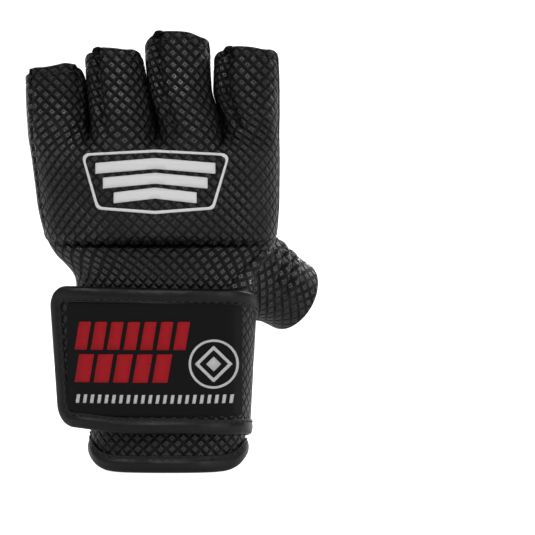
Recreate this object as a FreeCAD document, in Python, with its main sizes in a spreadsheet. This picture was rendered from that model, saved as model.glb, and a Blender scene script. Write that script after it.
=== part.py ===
"""A left-hand MMA glove, standing on its cuff with the fingers up.

The frame: +Z runs along the hand from the wrist opening to the fingertips, -Y is the back of the
hand, +Y the palm, and +X the thumb side. The origin is the middle of the wrist opening. Units are
millimetres. Every leather, foam and lining piece is a closed solid of its own.
"""

import FreeCAD, Part

import math
import os
import re

import Sketcher
from FreeCAD import Placement, Rotation, Vector

OUT = "parts"

# ---------------------------------------------------------------- driving dimensions

LAYERS = {
    "leather": 1.5,  # embossed leather with its backing
    "lining": 1.0,  # knit lining
    "joint_gap": 0.5,  # air left between two bodies that move
    "binding_width": 6.0,  # folded tape, from its fold to its stitch line
    "binding_proud": 0.8,  # how far a binding stands out of the leather
    "side_line_y": -5.0,  # where the palm half meets the back half
}

# Each level up the hand: height, centre, half width, palm depth, back depth, depth with the knuckle pad.
HAND_LEVELS = {
    "heel": {"z": 72.0, "x": -0.6, "w": 37.4, "palm": 29.5, "back": 20.0},
    "waist": {"z": 84.0, "x": -1.0, "w": 38.5, "palm": 29.3, "back": 20.5},
    "swell": {"z": 92.0, "x": -1.6, "w": 44.3, "palm": 29.1, "back": 21.2},
    "ledge": {"z": 107.0, "x": -3.0, "w": 53.0, "palm": 28.5, "back": 22.0, "pad": 27.5},
    "grip": {"z": 134.0, "x": -5.0, "w": 56.7, "palm": 26.5, "pad": 29.5},
    "knuckle": {"z": 158.0, "x": -6.5, "w": 58.7, "palm": 24.0, "pad": 28.0},
}

# The hand pocket inside the lining: centre, half width and half depth at each level.
POCKET_LEVELS = {
    "heel": {"y": -0.5, "w": 34.9, "d": 22.5},
    "waist": {"y": -0.4, "w": 36.2, "d": 21.9},
    "swell": {"y": -0.2, "w": 41.3, "d": 21.2},
    "ledge": {"y": 0.15, "w": 48.0, "d": 20.1},
    "grip": {"y": 0.25, "w": 52.0, "d": 18.2},
    "knuckle": {"y": -0.5, "w": 54.0, "d": 16.5},
}

# Each finger: its base ellipse, its tip ellipse, and how far the tip opening leans to the palm.
FINGERS = {
    "little": {
        "x": -52.5, "y": -7.0, "w": 13.1, "d": 17.5,
        "tip_x": -52.8, "tip_y": -4.0, "tip_z": 181.5, "tip_w": 12.6, "tip_d": 15.0, "lean": 13.0,
    },
    "ring": {
        "x": -25.0, "y": -10.5, "w": 12.8, "d": 21.0,
        "tip_x": -25.0, "tip_y": -5.5, "tip_z": 187.0, "tip_w": 12.6, "tip_d": 16.0, "lean": 16.0,
    },
    "middle": {
        "x": 4.6, "y": -10.5, "w": 14.9, "d": 21.0,
        "tip_x": 5.2, "tip_y": -6.0, "tip_z": 191.5, "tip_w": 14.5, "tip_d": 17.5, "lean": 30.0,
    },
    "index": {
        "x": 36.7, "y": -8.0, "w": 14.9, "d": 18.5,
        "tip_x": 37.4, "tip_y": -5.5, "tip_z": 188.3, "tip_w": 14.4, "tip_d": 16.5, "lean": 14.0,
    },
}
FINGER_SIZES = {
    "finger_base_z": 160.0,  # lowest point of a finger, on the back of the hand
    "base_lean": 14.0,  # the base plane rises to the palm side, which leaves room to bend
    "finger_hem": 3.0,  # length of the turned edge round each fingertip opening
    "hem_proud": 0.5,
    "base_hole_side": 3.2,  # leather and foam on each side of the finger hole, at the base
    "base_hole_back": 8.5,  # what the hole loses from its half depth to the pad on the back
    "base_hole_shift": 6.0,  # how far the hole sits to the palm side of the middle
    "tip_hole_side": 3.0,
    "tip_hole_back": 6.0,
    "tip_hole_shift": 3.5,
}

CUFF = {
    "cuff_w": 36.0,  # half width and half depth at the wrist opening
    "cuff_d": 25.0,
    "cuff_top_w": 37.4,
    "cuff_top_x": -0.6,
    "cuff_top_y": -0.5,
    "cuff_hem": 6.5,
    "slit_x": -32.0,
    "slit_half": 4.5,  # half the width of the open slit
    "slit_top": 76.0,  # centre of the slit's round end
    "slit_tape": 3.0,  # width of the binding round the slit
    "slit_proud": 0.4,
}

PALM_HOLE = {  # the round corners of the palm opening: centre and radius
    "hole_a": {"x": -36.0, "z": 126.0, "r": 8.0},
    "hole_b": {"x": -36.0, "z": 110.0, "r": 8.0},
    "hole_c": {"x": -9.0, "z": 89.0, "r": 9.0},
    "hole_d": {"x": 9.0, "z": 117.0, "r": 10.0},
    "hole_e": {"x": 9.0, "z": 128.0, "r": 9.0},
}

THUMB = {
    "thumb_x": 38.0,  # a point on the thumb's centre line, at the hand's surface
    "thumb_y": 14.0,
    "thumb_z": 93.5,
    "thumb_yaw": 41.0,  # turned from +X to the palm side
    "thumb_dip": 24.6,  # tipped down to the wrist
    "thumb_start": -16.0,  # places along the centre line
    "thumb_middle": 8.0,
    "thumb_end": 27.0,
    "thumb_hem": 3.0,
    "thumb_start_tall": 22.0,  # half sizes of the sleeve there
    "thumb_start_wide": 14.5,
    "thumb_middle_tall": 19.0,
    "thumb_middle_wide": 15.0,
    "thumb_end_tall": 15.8,
    "thumb_end_wide": 15.0,
}

STRAP = {
    "strap_x": -0.3,  # centre of the strap's turn round the wrist
    "strap_y": -1.5,
    "strap_low_w": 36.7,  # half width at the wrist opening's level
    "strap_high_w": 40.2,  # half width at the height below
    "strap_high_z": 92.0,
    "strap_d": 28.0,
    "strap_thick": 2.6,
    "strap_proud": 0.6,  # how far the strap's bindings stand out
    "strap_back_y": -28.0,  # the strap's edge heights below are at this depth
    "strap_top_z": 84.0,
    "strap_bottom_z": 20.0,
    "strap_top_tilt": 16.0,  # the edges drop towards the palm
    "strap_bottom_tilt": 8.0,
    "strap_sewn_y": 4.0,  # where the strap is sewn to the cuff, on the little finger's side
    "peel_x": 36.5,  # where the free flap starts
    "flap_x": -6.0,  # centre of the flap's longer curve
    "flap_w": 46.5,
    "label_thick": 0.8,
    "hook_thick": 1.0,
    "loop_thick": 1.0,
    "print_thick": 0.25,
}

FLAP_EDGE = {  # round corners of the free flap
    "flap_a": {"x": -43.5, "z": 75.0, "r": 9.0},
    "flap_b": {"x": -41.0, "z": 30.0, "r": 9.0},
    "flap_c": {"x": 35.5, "z": 25.0, "r": 0.5},
    "flap_d": {"x": 35.5, "z": 82.5, "r": 0.5},
}
FLAP_FIELD = {  # the part of the flap inside its binding
    "field_a": {"x": -43.5, "z": 75.0, "r": 3.0},
    "field_b": {"x": -41.0, "z": 30.0, "r": 3.0},
    "field_c": {"x": 35.5, "z": 31.0, "r": 0.5},
    "field_d": {"x": 35.5, "z": 76.5, "r": 0.5},
}
PATCHES = {  # flat rectangles with small corners: left, right, bottom, top
    "label": {"left": -41.0, "right": 33.0, "low": 31.5, "high": 76.0},
    "hook": {"left": -44.0, "right": -6.0, "low": 32.0, "high": 72.0},
    "loop": {"left": -26.0, "right": 18.0, "low": 30.0, "high": 68.0},
    "print": {"left": -39.0, "right": 28.0, "low": 120.0, "high": 149.0},
}
PATCH_CORNER = 1.0

doc = FreeCAD.newDocument("mma_glove")
sheet = doc.addObject("Spreadsheet::Sheet", "Sizes")
scratch = doc.addObject("Spreadsheet::Sheet", "Scratch")


def all_sizes():
    """Every driving dimension as alias and value."""
    sizes = {**LAYERS, **FINGER_SIZES, **CUFF, **THUMB, **STRAP}
    groups = [HAND_LEVELS, FINGERS, PALM_HOLE, FLAP_EDGE, FLAP_FIELD, PATCHES]
    for group in groups:
        for name, values in group.items():
            sizes.update({f"{name}_{key}": value for key, value in values.items()})
    for name, values in POCKET_LEVELS.items():
        sizes.update({f"{name}_pocket_{key}": value for key, value in values.items()})
    sizes["patch_corner"] = PATCH_CORNER
    return sizes


SIZES = all_sizes()
for row, (alias, value) in enumerate(SIZES.items(), start=1):
    sheet.set(f"A{row}", alias)
    sheet.set(f"B{row}", str(value))
    sheet.setAlias(f"B{row}", alias)
doc.recompute()

WORD = re.compile(r"\b[a-z][a-z_]*\b")
nodes = []


# ---------------------------------------------------------------- helpers

def formula(text):
    """A formula with each driving dimension's name turned into its cell."""
    return WORD.sub(lambda m: f"Sizes.{m[0]}" if m[0] in SIZES else m[0], str(text))


def bind(thing, **formulas):
    """Ties a thing's properties to the sheet. x, y and z are its place."""
    for prop, text in formulas.items():
        path = f"Placement.Base.{prop}" if prop in ("x", "y", "z") else prop
        thing.setExpression(path, formula(text))
    return thing


def ellipse(x, y, z, rx, ry, rotation=None):
    """A section whose longer half axis may lie along x or y."""
    turned = Rotation()
    if present(ry) > present(rx):
        turned = Rotation(Vector(0, 0, 1), 90)
        rx, ry = ry, rx
    thing = doc.addObject("Part::Ellipse", "Section")
    thing.Placement = Placement(Vector(), (rotation or Rotation()).multiply(turned))
    return bind(thing, x=x, y=y, z=z, MajorRadius=rx, MinorRadius=ry)


def present(text):
    """The present value of a formula of driving dimensions, worked out in a cell."""
    scratch.set("A1", "=" + formula(text))
    scratch.recompute()
    return float(scratch.get("A1"))


def loft(name, sections):
    thing = doc.addObject("Part::Loft", name)
    thing.Sections = sections
    thing.Solid = True
    thing.Ruled = len(sections) == 2
    return thing


def box(name, x, y, z, length, width, height, tilt=0.0):
    """A box whose lower, rear-left corner is at x, y, z, tilted about that edge along X."""
    thing = doc.addObject("Part::Box", name)
    thing.Placement = Placement(Vector(), Rotation(Vector(1, 0, 0), tilt))
    return bind(thing, x=x, y=y, z=z, Length=length, Width=width, Height=height)


def cut(name, base, *tools):
    """The base without any of the tools."""
    for number, tool in enumerate(tools):
        thing = doc.addObject("Part::Cut", name if number == len(tools) - 1 else f"{name}_cut")
        thing.Base = base
        thing.Tool = tool
        base = thing
    return base


def common(name, *shapes):
    thing = doc.addObject("Part::MultiCommon", name)
    thing.Shapes = list(shapes)
    return thing


def fuse(name, *shapes):
    thing = doc.addObject("Part::MultiFuse", name)
    thing.Shapes = list(shapes)
    return thing


def node(thing, label):
    """Names a finished sub-part. Its file takes this label."""
    thing.Label = label
    nodes.append(thing)
    return thing


def outline_prism(name, corners, grow="0"):
    """A prism through the glove along Y, whose outline wraps the round corners, counter-clockwise."""
    body = doc.addObject("PartDesign::Body", name)
    sketch = body.newObject("Sketcher::SketchObject", f"{name}_outline")
    plane = next(f for f in body.Origin.OriginFeatures if f.Role == "XZ_Plane")
    sketch.AttachmentSupport = [(plane, "")]
    sketch.MapMode = "FlatFace"
    wrap_corners(sketch, corners, grow)
    doc.recompute()
    pad = body.newObject("PartDesign::Pad", f"{name}_pad")
    pad.Profile = sketch
    pad.Midplane = True
    pad.Length = 240
    body.Tip = pad
    return body


def wrap_corners(sketch, corners, grow):
    """Arcs on the corner centres and the lines that touch them, constrained to the sheet."""
    at = [(present(x), present(z), present(f"{r} + {grow}")) for x, z, r in corners]
    count = len(at)
    outward = [touching_normal(at[i], at[(i + 1) % count]) for i in range(count)]
    arcs = []
    for i, (x, z, r) in enumerate(at):
        first = math.atan2(outward[i - 1][1], outward[i - 1][0])
        last = math.atan2(outward[i][1], outward[i][0])
        while last < first:
            last += 2 * math.pi
        circle = Part.Circle(Vector(x, z, 0), Vector(0, 0, 1), r)
        arcs.append(sketch.addGeometry(Part.ArcOfCircle(circle, first, last), False))
    lines = []
    for i in range(count):
        ends = [
            Vector(x + outward[i][0] * r, z + outward[i][1] * r, 0)
            for x, z, r in (at[i], at[(i + 1) % count])
        ]
        lines.append(sketch.addGeometry(Part.LineSegment(*ends), False))
    for i in range(count):
        sketch.addConstraint(Sketcher.Constraint("Tangent", arcs[i], 2, lines[i], 1))
        sketch.addConstraint(Sketcher.Constraint("Tangent", lines[i], 2, arcs[(i + 1) % count], 1))
    for i, (x, z, r) in enumerate(corners):
        held = {
            f"x{i}": (Sketcher.Constraint("DistanceX", -1, 1, arcs[i], 3, at[i][0]), x),
            f"z{i}": (Sketcher.Constraint("DistanceY", -1, 1, arcs[i], 3, at[i][1]), z),
            f"r{i}": (Sketcher.Constraint("Radius", arcs[i], at[i][2]), f"{r} + {grow}"),
        }
        for label, (constraint, text) in held.items():
            sketch.renameConstraint(sketch.addConstraint(constraint), label)
            sketch.setExpression(f"Constraints.{label}", formula(text))


def touching_normal(first, second):
    """The outward normal of the line that touches two circles of a counter-clockwise outline."""
    dx, dz = second[0] - first[0], second[1] - first[1]
    gap = math.hypot(dx, dz)
    ux, uz = dx / gap, dz / gap
    lean = (first[2] - second[2]) / gap
    flat = math.sqrt(1 - lean * lean)
    return uz * flat + ux * lean, -ux * flat + uz * lean


def named_corners(group):
    return [(f"{name}_x", f"{name}_z", f"{name}_r") for name in group]


def patch_corners(patch):
    """The corners of a rectangular patch, counter-clockwise from its lower left."""
    left, right = f"{patch}_left + patch_corner", f"{patch}_right - patch_corner"
    low, high = f"{patch}_low + patch_corner", f"{patch}_high - patch_corner"
    return [
        (left, low, "patch_corner"),
        (right, low, "patch_corner"),
        (right, high, "patch_corner"),
        (left, high, "patch_corner"),
    ]


# ---------------------------------------------------------------- hand

def hull(name, levels, depth, grow="0", lift="0"):
    """A loft up the hand through the named levels. lift raises only its first level."""
    sections = []
    for number, level in enumerate(levels):
        z = f"{level}_z + {lift}" if number == 0 else f"{level}_z"
        rx, ry = f"{level}_w + {grow}", f"{level}_{depth} + {grow}"
        sections.append(ellipse(f"{level}_x", "side_line_y", z, rx, ry))
    return loft(name, sections)


def pocket(name, grow="0"):
    sections = [
        ellipse(
            f"{level}_x", f"{level}_pocket_y", f"{level}_z",
            f"{level}_pocket_w + {grow}", f"{level}_pocket_d + {grow}",
        )
        for level in POCKET_LEVELS
    ]
    return loft(name, sections)


def build_hand(thumb_hull):
    """The padded back, the palm, their linings and the bindings of the palm's openings."""
    back_half = box("BackHalf", "-150", "side_line_y - 150", "-10", "300", "150", "300")
    palm_half = box("PalmHalf", "-150", "side_line_y", "-10", "300", "150", "300")
    pocket_outer = pocket("PocketOuter")
    pocket_inner = pocket("PocketInner", "-lining")

    pad_outer = hull("PadOuter", ["ledge", "grip", "knuckle"], "pad")
    pad_inner = hull("PadInner", ["ledge", "grip", "knuckle"], "pad", "-leather", "leather")
    node(cut("DorsalShell", common("PadBack", pad_outer, back_half), pad_inner, pocket_outer), "dorsal_shell")
    node(cut("KnucklePad", common("PadCore", pad_inner, back_half), pocket_outer), "knuckle_pad")

    back_outer = hull("BackOuter", ["heel", "waist", "ledge"], "back")
    back_inner = hull("BackInner", ["heel", "waist", "ledge"], "back", "-leather")
    back_skin = common("BackSkin", back_outer, back_half)
    back_panel = cut("BackPanel", back_skin, back_inner, pocket_outer, thumb_hull)
    node(back_panel, "lower_back_panel")
    back_foam = cut("BackFoam", common("BackCore", back_inner, back_half), pocket_outer, thumb_hull)
    node(back_foam, "lower_back_pad")

    levels = list(HAND_LEVELS)
    palm_outer = hull("PalmOuter", levels, "palm")
    palm_inner = hull("PalmInner", levels, "palm", "-leather")
    tape_outer = hull("PalmTapeOuter", levels, "palm", "binding_proud")
    tape_inner = hull("PalmTapeInner", levels, "palm", "-leather - 1.6")
    hole = named_corners(PALM_HOLE)
    hole_inner = outline_prism("PalmHoleInner", hole)
    hole_outer = outline_prism("PalmHoleOuter", hole, "binding_width")
    palm_hole = common("PalmHoleCutter", hole_outer, palm_half)
    slit_inner = slit_prism("SlitInner")
    slit_outer = slit_prism("SlitOuter", "slit_tape")
    slit = common("SlitCutter", slit_outer, palm_half)
    bar_tape = box(
        "BarTape", "ring_x - ring_w", "side_line_y", "knuckle_z - binding_width",
        "middle_x + middle_w - ring_x + ring_w", "60", "binding_width + 20",
    )

    palm_skin = common("PalmSkin", palm_outer, palm_half)
    palm_gaps = [palm_inner, pocket_outer, palm_hole, slit, bar_tape, thumb_hull]
    node(cut("PalmPanel", palm_skin, *palm_gaps), "palm_panel")
    lined = cut("HandLining", pocket_outer, pocket_inner, palm_hole, slit, bar_tape, thumb_hull)
    node(lined, "hand_lining")
    hole_ring = cut("PalmHoleRing", hole_outer, hole_inner)
    palm_tape = cut("PalmTape", tape_outer, tape_inner)
    node(common("PalmBinding", palm_tape, hole_ring, palm_half), "palm_opening_binding")
    node(common("BarBinding", palm_tape, bar_tape), "grip_bar_binding")
    return slit_inner, slit_outer, palm_half


def slit_prism(name, grow="0"):
    """The slit up the little finger's side of the wrist, open at the bottom and round at the top."""
    corners = [
        ("slit_x", "-20", "slit_half"),
        ("slit_x", "slit_top", "slit_half"),
    ]
    return outline_prism(name, corners, grow)


def build_knuckle_print():
    proud = hull("PrintOuter", ["ledge", "grip", "knuckle"], "pad", "print_thick")
    skin = hull("PrintInner", ["ledge", "grip", "knuckle"], "pad")
    front = box("PrintFront", "-150", "side_line_y - 150", "-10", "300", "140", "300")
    shape = outline_prism("PrintOutline", patch_corners("print"))
    node(common("KnucklePrint", cut("PrintSkin", proud, skin), shape, front), "knuckle_print")


# ---------------------------------------------------------------- cuff

def wrist_loft(name, grow, bottom="0", top="heel_z"):
    """A loft of the wrist's own taper between two heights."""
    sections = []
    for z in (bottom, top):
        share = f"({z}) / heel_z"
        sections.append(ellipse(
            f"cuff_top_x * {share}", f"cuff_top_y * {share}", z,
            f"cuff_w + (cuff_top_w - cuff_w) * {share} + {grow}", f"cuff_d + {grow}",
        ))
    return loft(name, sections)


def build_cuff(slit_inner, slit_outer, palm_half):
    slit = common("CuffSlitCutter", slit_outer, palm_half)
    outer = wrist_loft("CuffOuter", "0", "cuff_hem")
    middle = wrist_loft("CuffMiddle", "-leather", "cuff_hem")
    inner = wrist_loft("CuffInner", "-leather - lining", "cuff_hem")
    node(cut("CuffShell", outer, middle, slit), "cuff_shell")
    node(cut("CuffLining", middle, inner, slit), "cuff_lining")

    hem_outer = wrist_loft("HemOuter", "binding_proud", "0", "cuff_hem")
    hem_inner = wrist_loft("HemInner", "-leather - lining - binding_proud", "0", "cuff_hem")
    node(cut("CuffHem", hem_outer, hem_inner, slit), "cuff_hem_binding")

    tape_outer = wrist_loft("SlitTapeOuter", "slit_proud", "0", "slit_top + 12")
    tape_inner = wrist_loft("SlitTapeInner", "-leather - lining - slit_proud", "0", "slit_top + 12")
    u_shape = cut("SlitRing", slit_outer, slit_inner)
    tape = cut("SlitTape", tape_outer, tape_inner)
    node(common("SlitBinding", tape, u_shape, palm_half), "wrist_slit_binding")

    loop_outer = wrist_loft("LoopOuter", "loop_thick")
    loop_inner = wrist_loft("LoopInner", "0")
    back = box("LoopBack", "-60", "-60", "0", "120", "60", "100")
    shape = outline_prism("LoopOutline", patch_corners("loop"))
    node(common("LoopPatch", cut("LoopSkin", loop_outer, loop_inner), shape, back), "loop_patch")


# ---------------------------------------------------------------- fingers

def finger_base(finger, side, back, shift):
    """The section at a finger's base, shrunk at the sides and back and shifted to the palm."""
    return ellipse(
        f"{finger}_x",
        f"{finger}_y + {shift} * cos(base_lean)",
        f"finger_base_z + ({finger}_d + {shift}) * sin(base_lean)",
        f"{finger}_w - ({side})", f"{finger}_d - ({back})",
        Rotation(Vector(1, 0, 0), SIZES["base_lean"]),
    )


def finger_tip(finger, side, back, shift, rise="0"):
    """The leaning section at a finger's tip, raised along the tip plane's normal."""
    return ellipse(
        f"{finger}_tip_x",
        f"{finger}_tip_y + {shift} * cos({finger}_lean) + {rise} * sin({finger}_lean)",
        f"{finger}_tip_z - {shift} * sin({finger}_lean) + {rise} * cos({finger}_lean)",
        f"{finger}_tip_w - ({side})", f"{finger}_tip_d - ({back})",
        Rotation(Vector(1, 0, 0), -SIZES[f"{finger}_lean"]),
    )


def build_finger(finger):
    """Sleeve, foam, lining and turned edge of one finger."""
    layers = {}
    for label, grow in (("Outer", "0"), ("Inner", "leather")):
        sections = [finger_base(finger, grow, grow, "0"), finger_tip(finger, grow, grow, "0")]
        layers[label] = loft(f"{finger}{label}", sections)
    for label, grow in (("HoleOuter", "0"), ("HoleInner", "lining")):
        sections = [
            finger_base(finger, f"base_hole_side + {grow}", f"base_hole_back + {grow}", "base_hole_shift"),
            finger_tip(finger, f"tip_hole_side + {grow}", f"tip_hole_back + {grow}", "tip_hole_shift"),
        ]
        layers[label] = loft(f"{finger}{label}", sections)
    node(cut(f"{finger}Sleeve", layers["Outer"], layers["Inner"]), f"{finger}_finger_sleeve")
    node(cut(f"{finger}Pad", layers["Inner"], layers["HoleOuter"]), f"{finger}_finger_pad")
    node(cut(f"{finger}Lining", layers["HoleOuter"], layers["HoleInner"]), f"{finger}_finger_lining")

    rises = ("0", "finger_hem")
    bore = ("tip_hole_side + lining", "tip_hole_back + lining", "tip_hole_shift")
    edge = loft(f"{finger}Edge", [finger_tip(finger, "-hem_proud", "-hem_proud", "0", r) for r in rises])
    hollow = loft(f"{finger}Bore", [finger_tip(finger, *bore, r) for r in rises])
    node(cut(f"{finger}Hem", edge, hollow), f"{finger}_finger_hem")


# ---------------------------------------------------------------- thumb

def thumb_section(place, tall, wide, grow):
    """A section across the thumb's centre line at a place along it."""
    yaw, dip = SIZES["thumb_yaw"], SIZES["thumb_dip"]
    turn = Rotation(Vector(0, 0, 1), yaw).multiply(Rotation(Vector(0, 1, 0), 90 + dip))
    return ellipse(
        f"thumb_x + ({place}) * cos(thumb_dip) * cos(thumb_yaw)",
        f"thumb_y + ({place}) * cos(thumb_dip) * sin(thumb_yaw)",
        f"thumb_z - ({place}) * sin(thumb_dip)",
        f"{tall} + {grow}", f"{wide} + {grow}", turn,
    )


def thumb_loft(name, grow):
    places = ("thumb_start", "thumb_middle", "thumb_end")
    return loft(name, [thumb_section(p, f"{p}_tall", f"{p}_wide", grow) for p in places])


def build_thumb():
    """Sleeve, lining and turned edge of the thumb. They start clear of the hand."""
    levels = list(HAND_LEVELS)
    clear = hull("ThumbClear", levels, "palm", "joint_gap")
    outer = thumb_loft("ThumbOuter", "0")
    middle = thumb_loft("ThumbMiddle", "-leather")
    inner = thumb_loft("ThumbInner", "-leather - lining")
    node(cut("ThumbSleeve", outer, middle, clear), "thumb_sleeve")
    node(cut("ThumbLining", middle, inner, clear), "thumb_lining")
    rim = [("thumb_end", "hem_proud"), ("thumb_end + thumb_hem", "hem_proud")]
    bore = [("thumb_end", "-leather - lining"), ("thumb_end + thumb_hem", "-leather - lining")]
    edge = loft("ThumbHemOuter", [thumb_section(p, "thumb_end_tall", "thumb_end_wide", g) for p, g in rim])
    hollow = loft("ThumbHemInner", [thumb_section(p, "thumb_end_tall", "thumb_end_wide", g) for p, g in bore])
    node(cut("ThumbHem", edge, hollow), "thumb_hem")
    return thumb_loft("ThumbPassage", "joint_gap")


# ---------------------------------------------------------------- strap

def strap_section(edge, offset, grow):
    """A tilted section through the strap's turn, offset upwards from its top or bottom edge."""
    tilt = f"strap_{edge}_tilt"
    z = f"(strap_{edge}_z - (strap_y - strap_back_y) * tan({tilt}) + {offset})"
    width = f"strap_low_w + (strap_high_w - strap_low_w) * {z} / strap_high_z + {grow}"
    turn = Rotation(Vector(1, 0, 0), -SIZES[tilt])
    return ellipse("strap_x", "strap_y", z, width, f"(strap_d + {grow}) / cos({tilt})", turn)


def strap_band(name, low, high, inner, outer):
    """A band of the strap between two edge and offset pairs, without the free flap's side."""
    rounds = [
        loft(f"{name}{label}", [strap_section(*low, grow), strap_section(*high, grow)])
        for label, grow in (("Outer", outer), ("Inner", inner))
    ]
    flap_side = box(
        f"{name}FlapSide", "-150", "-150", "-10", "150 + peel_x + joint_gap", "150 + strap_sewn_y", "200",
    )
    return cut(name, *rounds, flap_side)


def build_strap_wrap():
    """The sewn part of the strap: across the palm side and round the thumb side, with its bindings."""
    middle = ("bottom", "binding_width"), ("top", "-binding_width")
    top = ("top", "-binding_width"), ("top", "0")
    bottom = ("bottom", "0"), ("bottom", "binding_width")
    proud = "strap_thick + strap_proud"
    node(strap_band("StrapWrap", *middle, "0", "strap_thick"), "strap_wrap")
    node(strap_band("StrapTopTape", *top, "-0.2", proud), "strap_wrap_top_binding")
    node(strap_band("StrapLowTape", *bottom, "-0.2", proud), "strap_wrap_bottom_binding")


def flap_skin(name, inner, outer):
    """A curved layer of the flap between two offsets from its inner face."""
    rounds = []
    for label, grow in (("Outer", outer), ("Inner", inner)):
        sections = [
            ellipse("flap_x", "strap_y", z, f"flap_w + {grow}", f"strap_d + {grow}") for z in ("0", "120")
        ]
        rounds.append(loft(f"{name}{label}", sections))
    back = box(f"{name}Back", "-100", "-100", "0", "200", "100 + strap_y", "120")
    return common(f"{name}Layer", cut(f"{name}Ring", *rounds), back)


def build_strap_flap():
    """The part that peels off: leather, binding, woven label and hook patch."""
    field = outline_prism("FlapField", named_corners(FLAP_FIELD))
    whole = outline_prism("FlapWhole", named_corners(FLAP_EDGE))
    leather = flap_skin("FlapLeather", "0", "strap_thick")
    tape = flap_skin("FlapTape", "-0.2", "strap_thick + strap_proud")
    label = flap_skin("FlapLabel", "strap_thick", "strap_thick + label_thick")
    hook = flap_skin("FlapHook", "-hook_thick", "0")
    node(common("StrapFlap", leather, field), "strap_flap")
    node(common("FlapBinding", tape, cut("FlapFrame", whole, field)), "strap_flap_binding")
    node(common("LabelPatch", label, outline_prism("LabelOutline", patch_corners("label"))), "label_patch")
    node(common("HookPatch", hook, outline_prism("HookOutline", patch_corners("hook"))), "hook_patch")


# ---------------------------------------------------------------- build, check and write

def check_and_write():
    """Stops on any failed object, then writes one STEP file for each sub-part."""
    bad = [o.Name for o in doc.Objects if {"Invalid", "Error"} & set(o.State)]
    if bad:
        raise SystemExit(f"failed objects: {bad}")
    os.makedirs(OUT, exist_ok=True)
    for thing in nodes:
        shape = thing.Shape
        if shape.isNull() or not shape.isValid() or not shape.Solids:
            raise SystemExit(f"{thing.Label} is not a valid solid")
        shape.exportStep(os.path.join(OUT, f"{thing.Label}.step"))
        print(f"{thing.Label}: {len(shape.Solids)} solid, {shape.Volume:.0f} mm3")


thumb_passage = build_thumb()
slit_parts = build_hand(thumb_passage)
build_knuckle_print()
build_cuff(*slit_parts)
for finger_name in FINGERS:
    build_finger(finger_name)
build_strap_wrap()
build_strap_flap()
doc.recompute()
check_and_write()
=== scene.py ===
"""The looks of a left-hand MMA glove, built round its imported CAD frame.

Shapes are worked out in millimetres and turned into metres where the meshes are made. +Z runs up the
hand, -Y is the back of the hand, +Y the palm and +X the thumb side.
"""

import math

import bpy
import numpy as np
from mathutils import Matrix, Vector, bvhtree, geometry


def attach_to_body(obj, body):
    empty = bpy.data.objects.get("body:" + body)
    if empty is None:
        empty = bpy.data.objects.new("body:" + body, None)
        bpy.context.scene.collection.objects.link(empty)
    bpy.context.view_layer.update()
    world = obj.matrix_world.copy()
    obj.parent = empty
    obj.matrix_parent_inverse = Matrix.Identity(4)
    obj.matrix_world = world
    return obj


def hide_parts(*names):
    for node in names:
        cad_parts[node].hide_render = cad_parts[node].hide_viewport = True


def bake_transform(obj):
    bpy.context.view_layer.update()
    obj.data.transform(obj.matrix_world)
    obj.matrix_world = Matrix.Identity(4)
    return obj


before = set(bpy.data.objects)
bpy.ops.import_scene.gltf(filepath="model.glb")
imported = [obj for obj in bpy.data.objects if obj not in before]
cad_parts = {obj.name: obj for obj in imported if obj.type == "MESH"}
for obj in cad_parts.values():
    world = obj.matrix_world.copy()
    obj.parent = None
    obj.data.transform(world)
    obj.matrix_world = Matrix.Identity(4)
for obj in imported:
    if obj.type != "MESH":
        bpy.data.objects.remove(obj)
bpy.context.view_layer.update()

MM = 0.001
FINGERS = ("little", "ring", "middle", "index")


# ---------------------------------------------------------------- numbers

def smooth(low, high, value):
    """0 below low, 1 above high, and a smooth step between."""
    t = np.clip((np.asarray(value, float) - low) / (high - low), 0, 1)
    return t * t * (3 - 2 * t)


def spline(knots):
    """A smooth curve through rows of (place, value, ...). It returns values for any places."""
    rows = np.array(knots, float)
    x, y = rows[:, 0], rows[:, 1:]
    slope = np.gradient(y, x, axis=0)

    def at(places):
        p = np.clip(np.asarray(places, float), x[0], x[-1])
        i = np.clip(np.searchsorted(x, p, side="right") - 1, 0, len(x) - 2)
        h = (x[i + 1] - x[i])[..., None]
        t = ((p - x[i])[..., None]) / h
        a = (2 * t**3 - 3 * t**2 + 1) * y[i] + (t**3 - 2 * t**2 + t) * h * slope[i]
        b = (3 * t**2 - 2 * t**3) * y[i + 1] + (t**3 - t**2) * h * slope[i + 1]
        return a + b

    return at


def along(points):
    """The running length at each point of a line."""
    p = np.asarray(points, float)
    steps = np.linalg.norm(np.diff(p, axis=0), axis=1)
    return np.concatenate([[0.0], np.cumsum(steps)])


def resample(points, step, closed=False):
    """Points of a line at an even spacing near step."""
    p = np.asarray(points, float)
    if closed:
        p = np.vstack([p, p[:1]])
    s = along(p)
    count = max(2, int(round(s[-1] / step)) + 1)
    places = np.linspace(0, s[-1], count)
    out = np.stack([np.interp(places, s, p[:, k]) for k in range(p.shape[1])], axis=1)
    return out[:-1] if closed else out


def power(value, n):
    return np.sign(value) * np.abs(value) ** n


def unit(v):
    length = np.linalg.norm(v, axis=-1, keepdims=True)
    return v / np.maximum(length, 1e-9)


def with_normals(point, u, z):
    """Points of a surface at flat coordinates in millimetres, and the normals there."""
    du = point(u + 0.4, z) - point(u - 0.4, z)
    dz = point(u, z + 0.4) - point(u, z - 0.4)
    return point(u, z), unit(np.cross(dz, du))


# ---------------------------------------------------------------- materials

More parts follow.
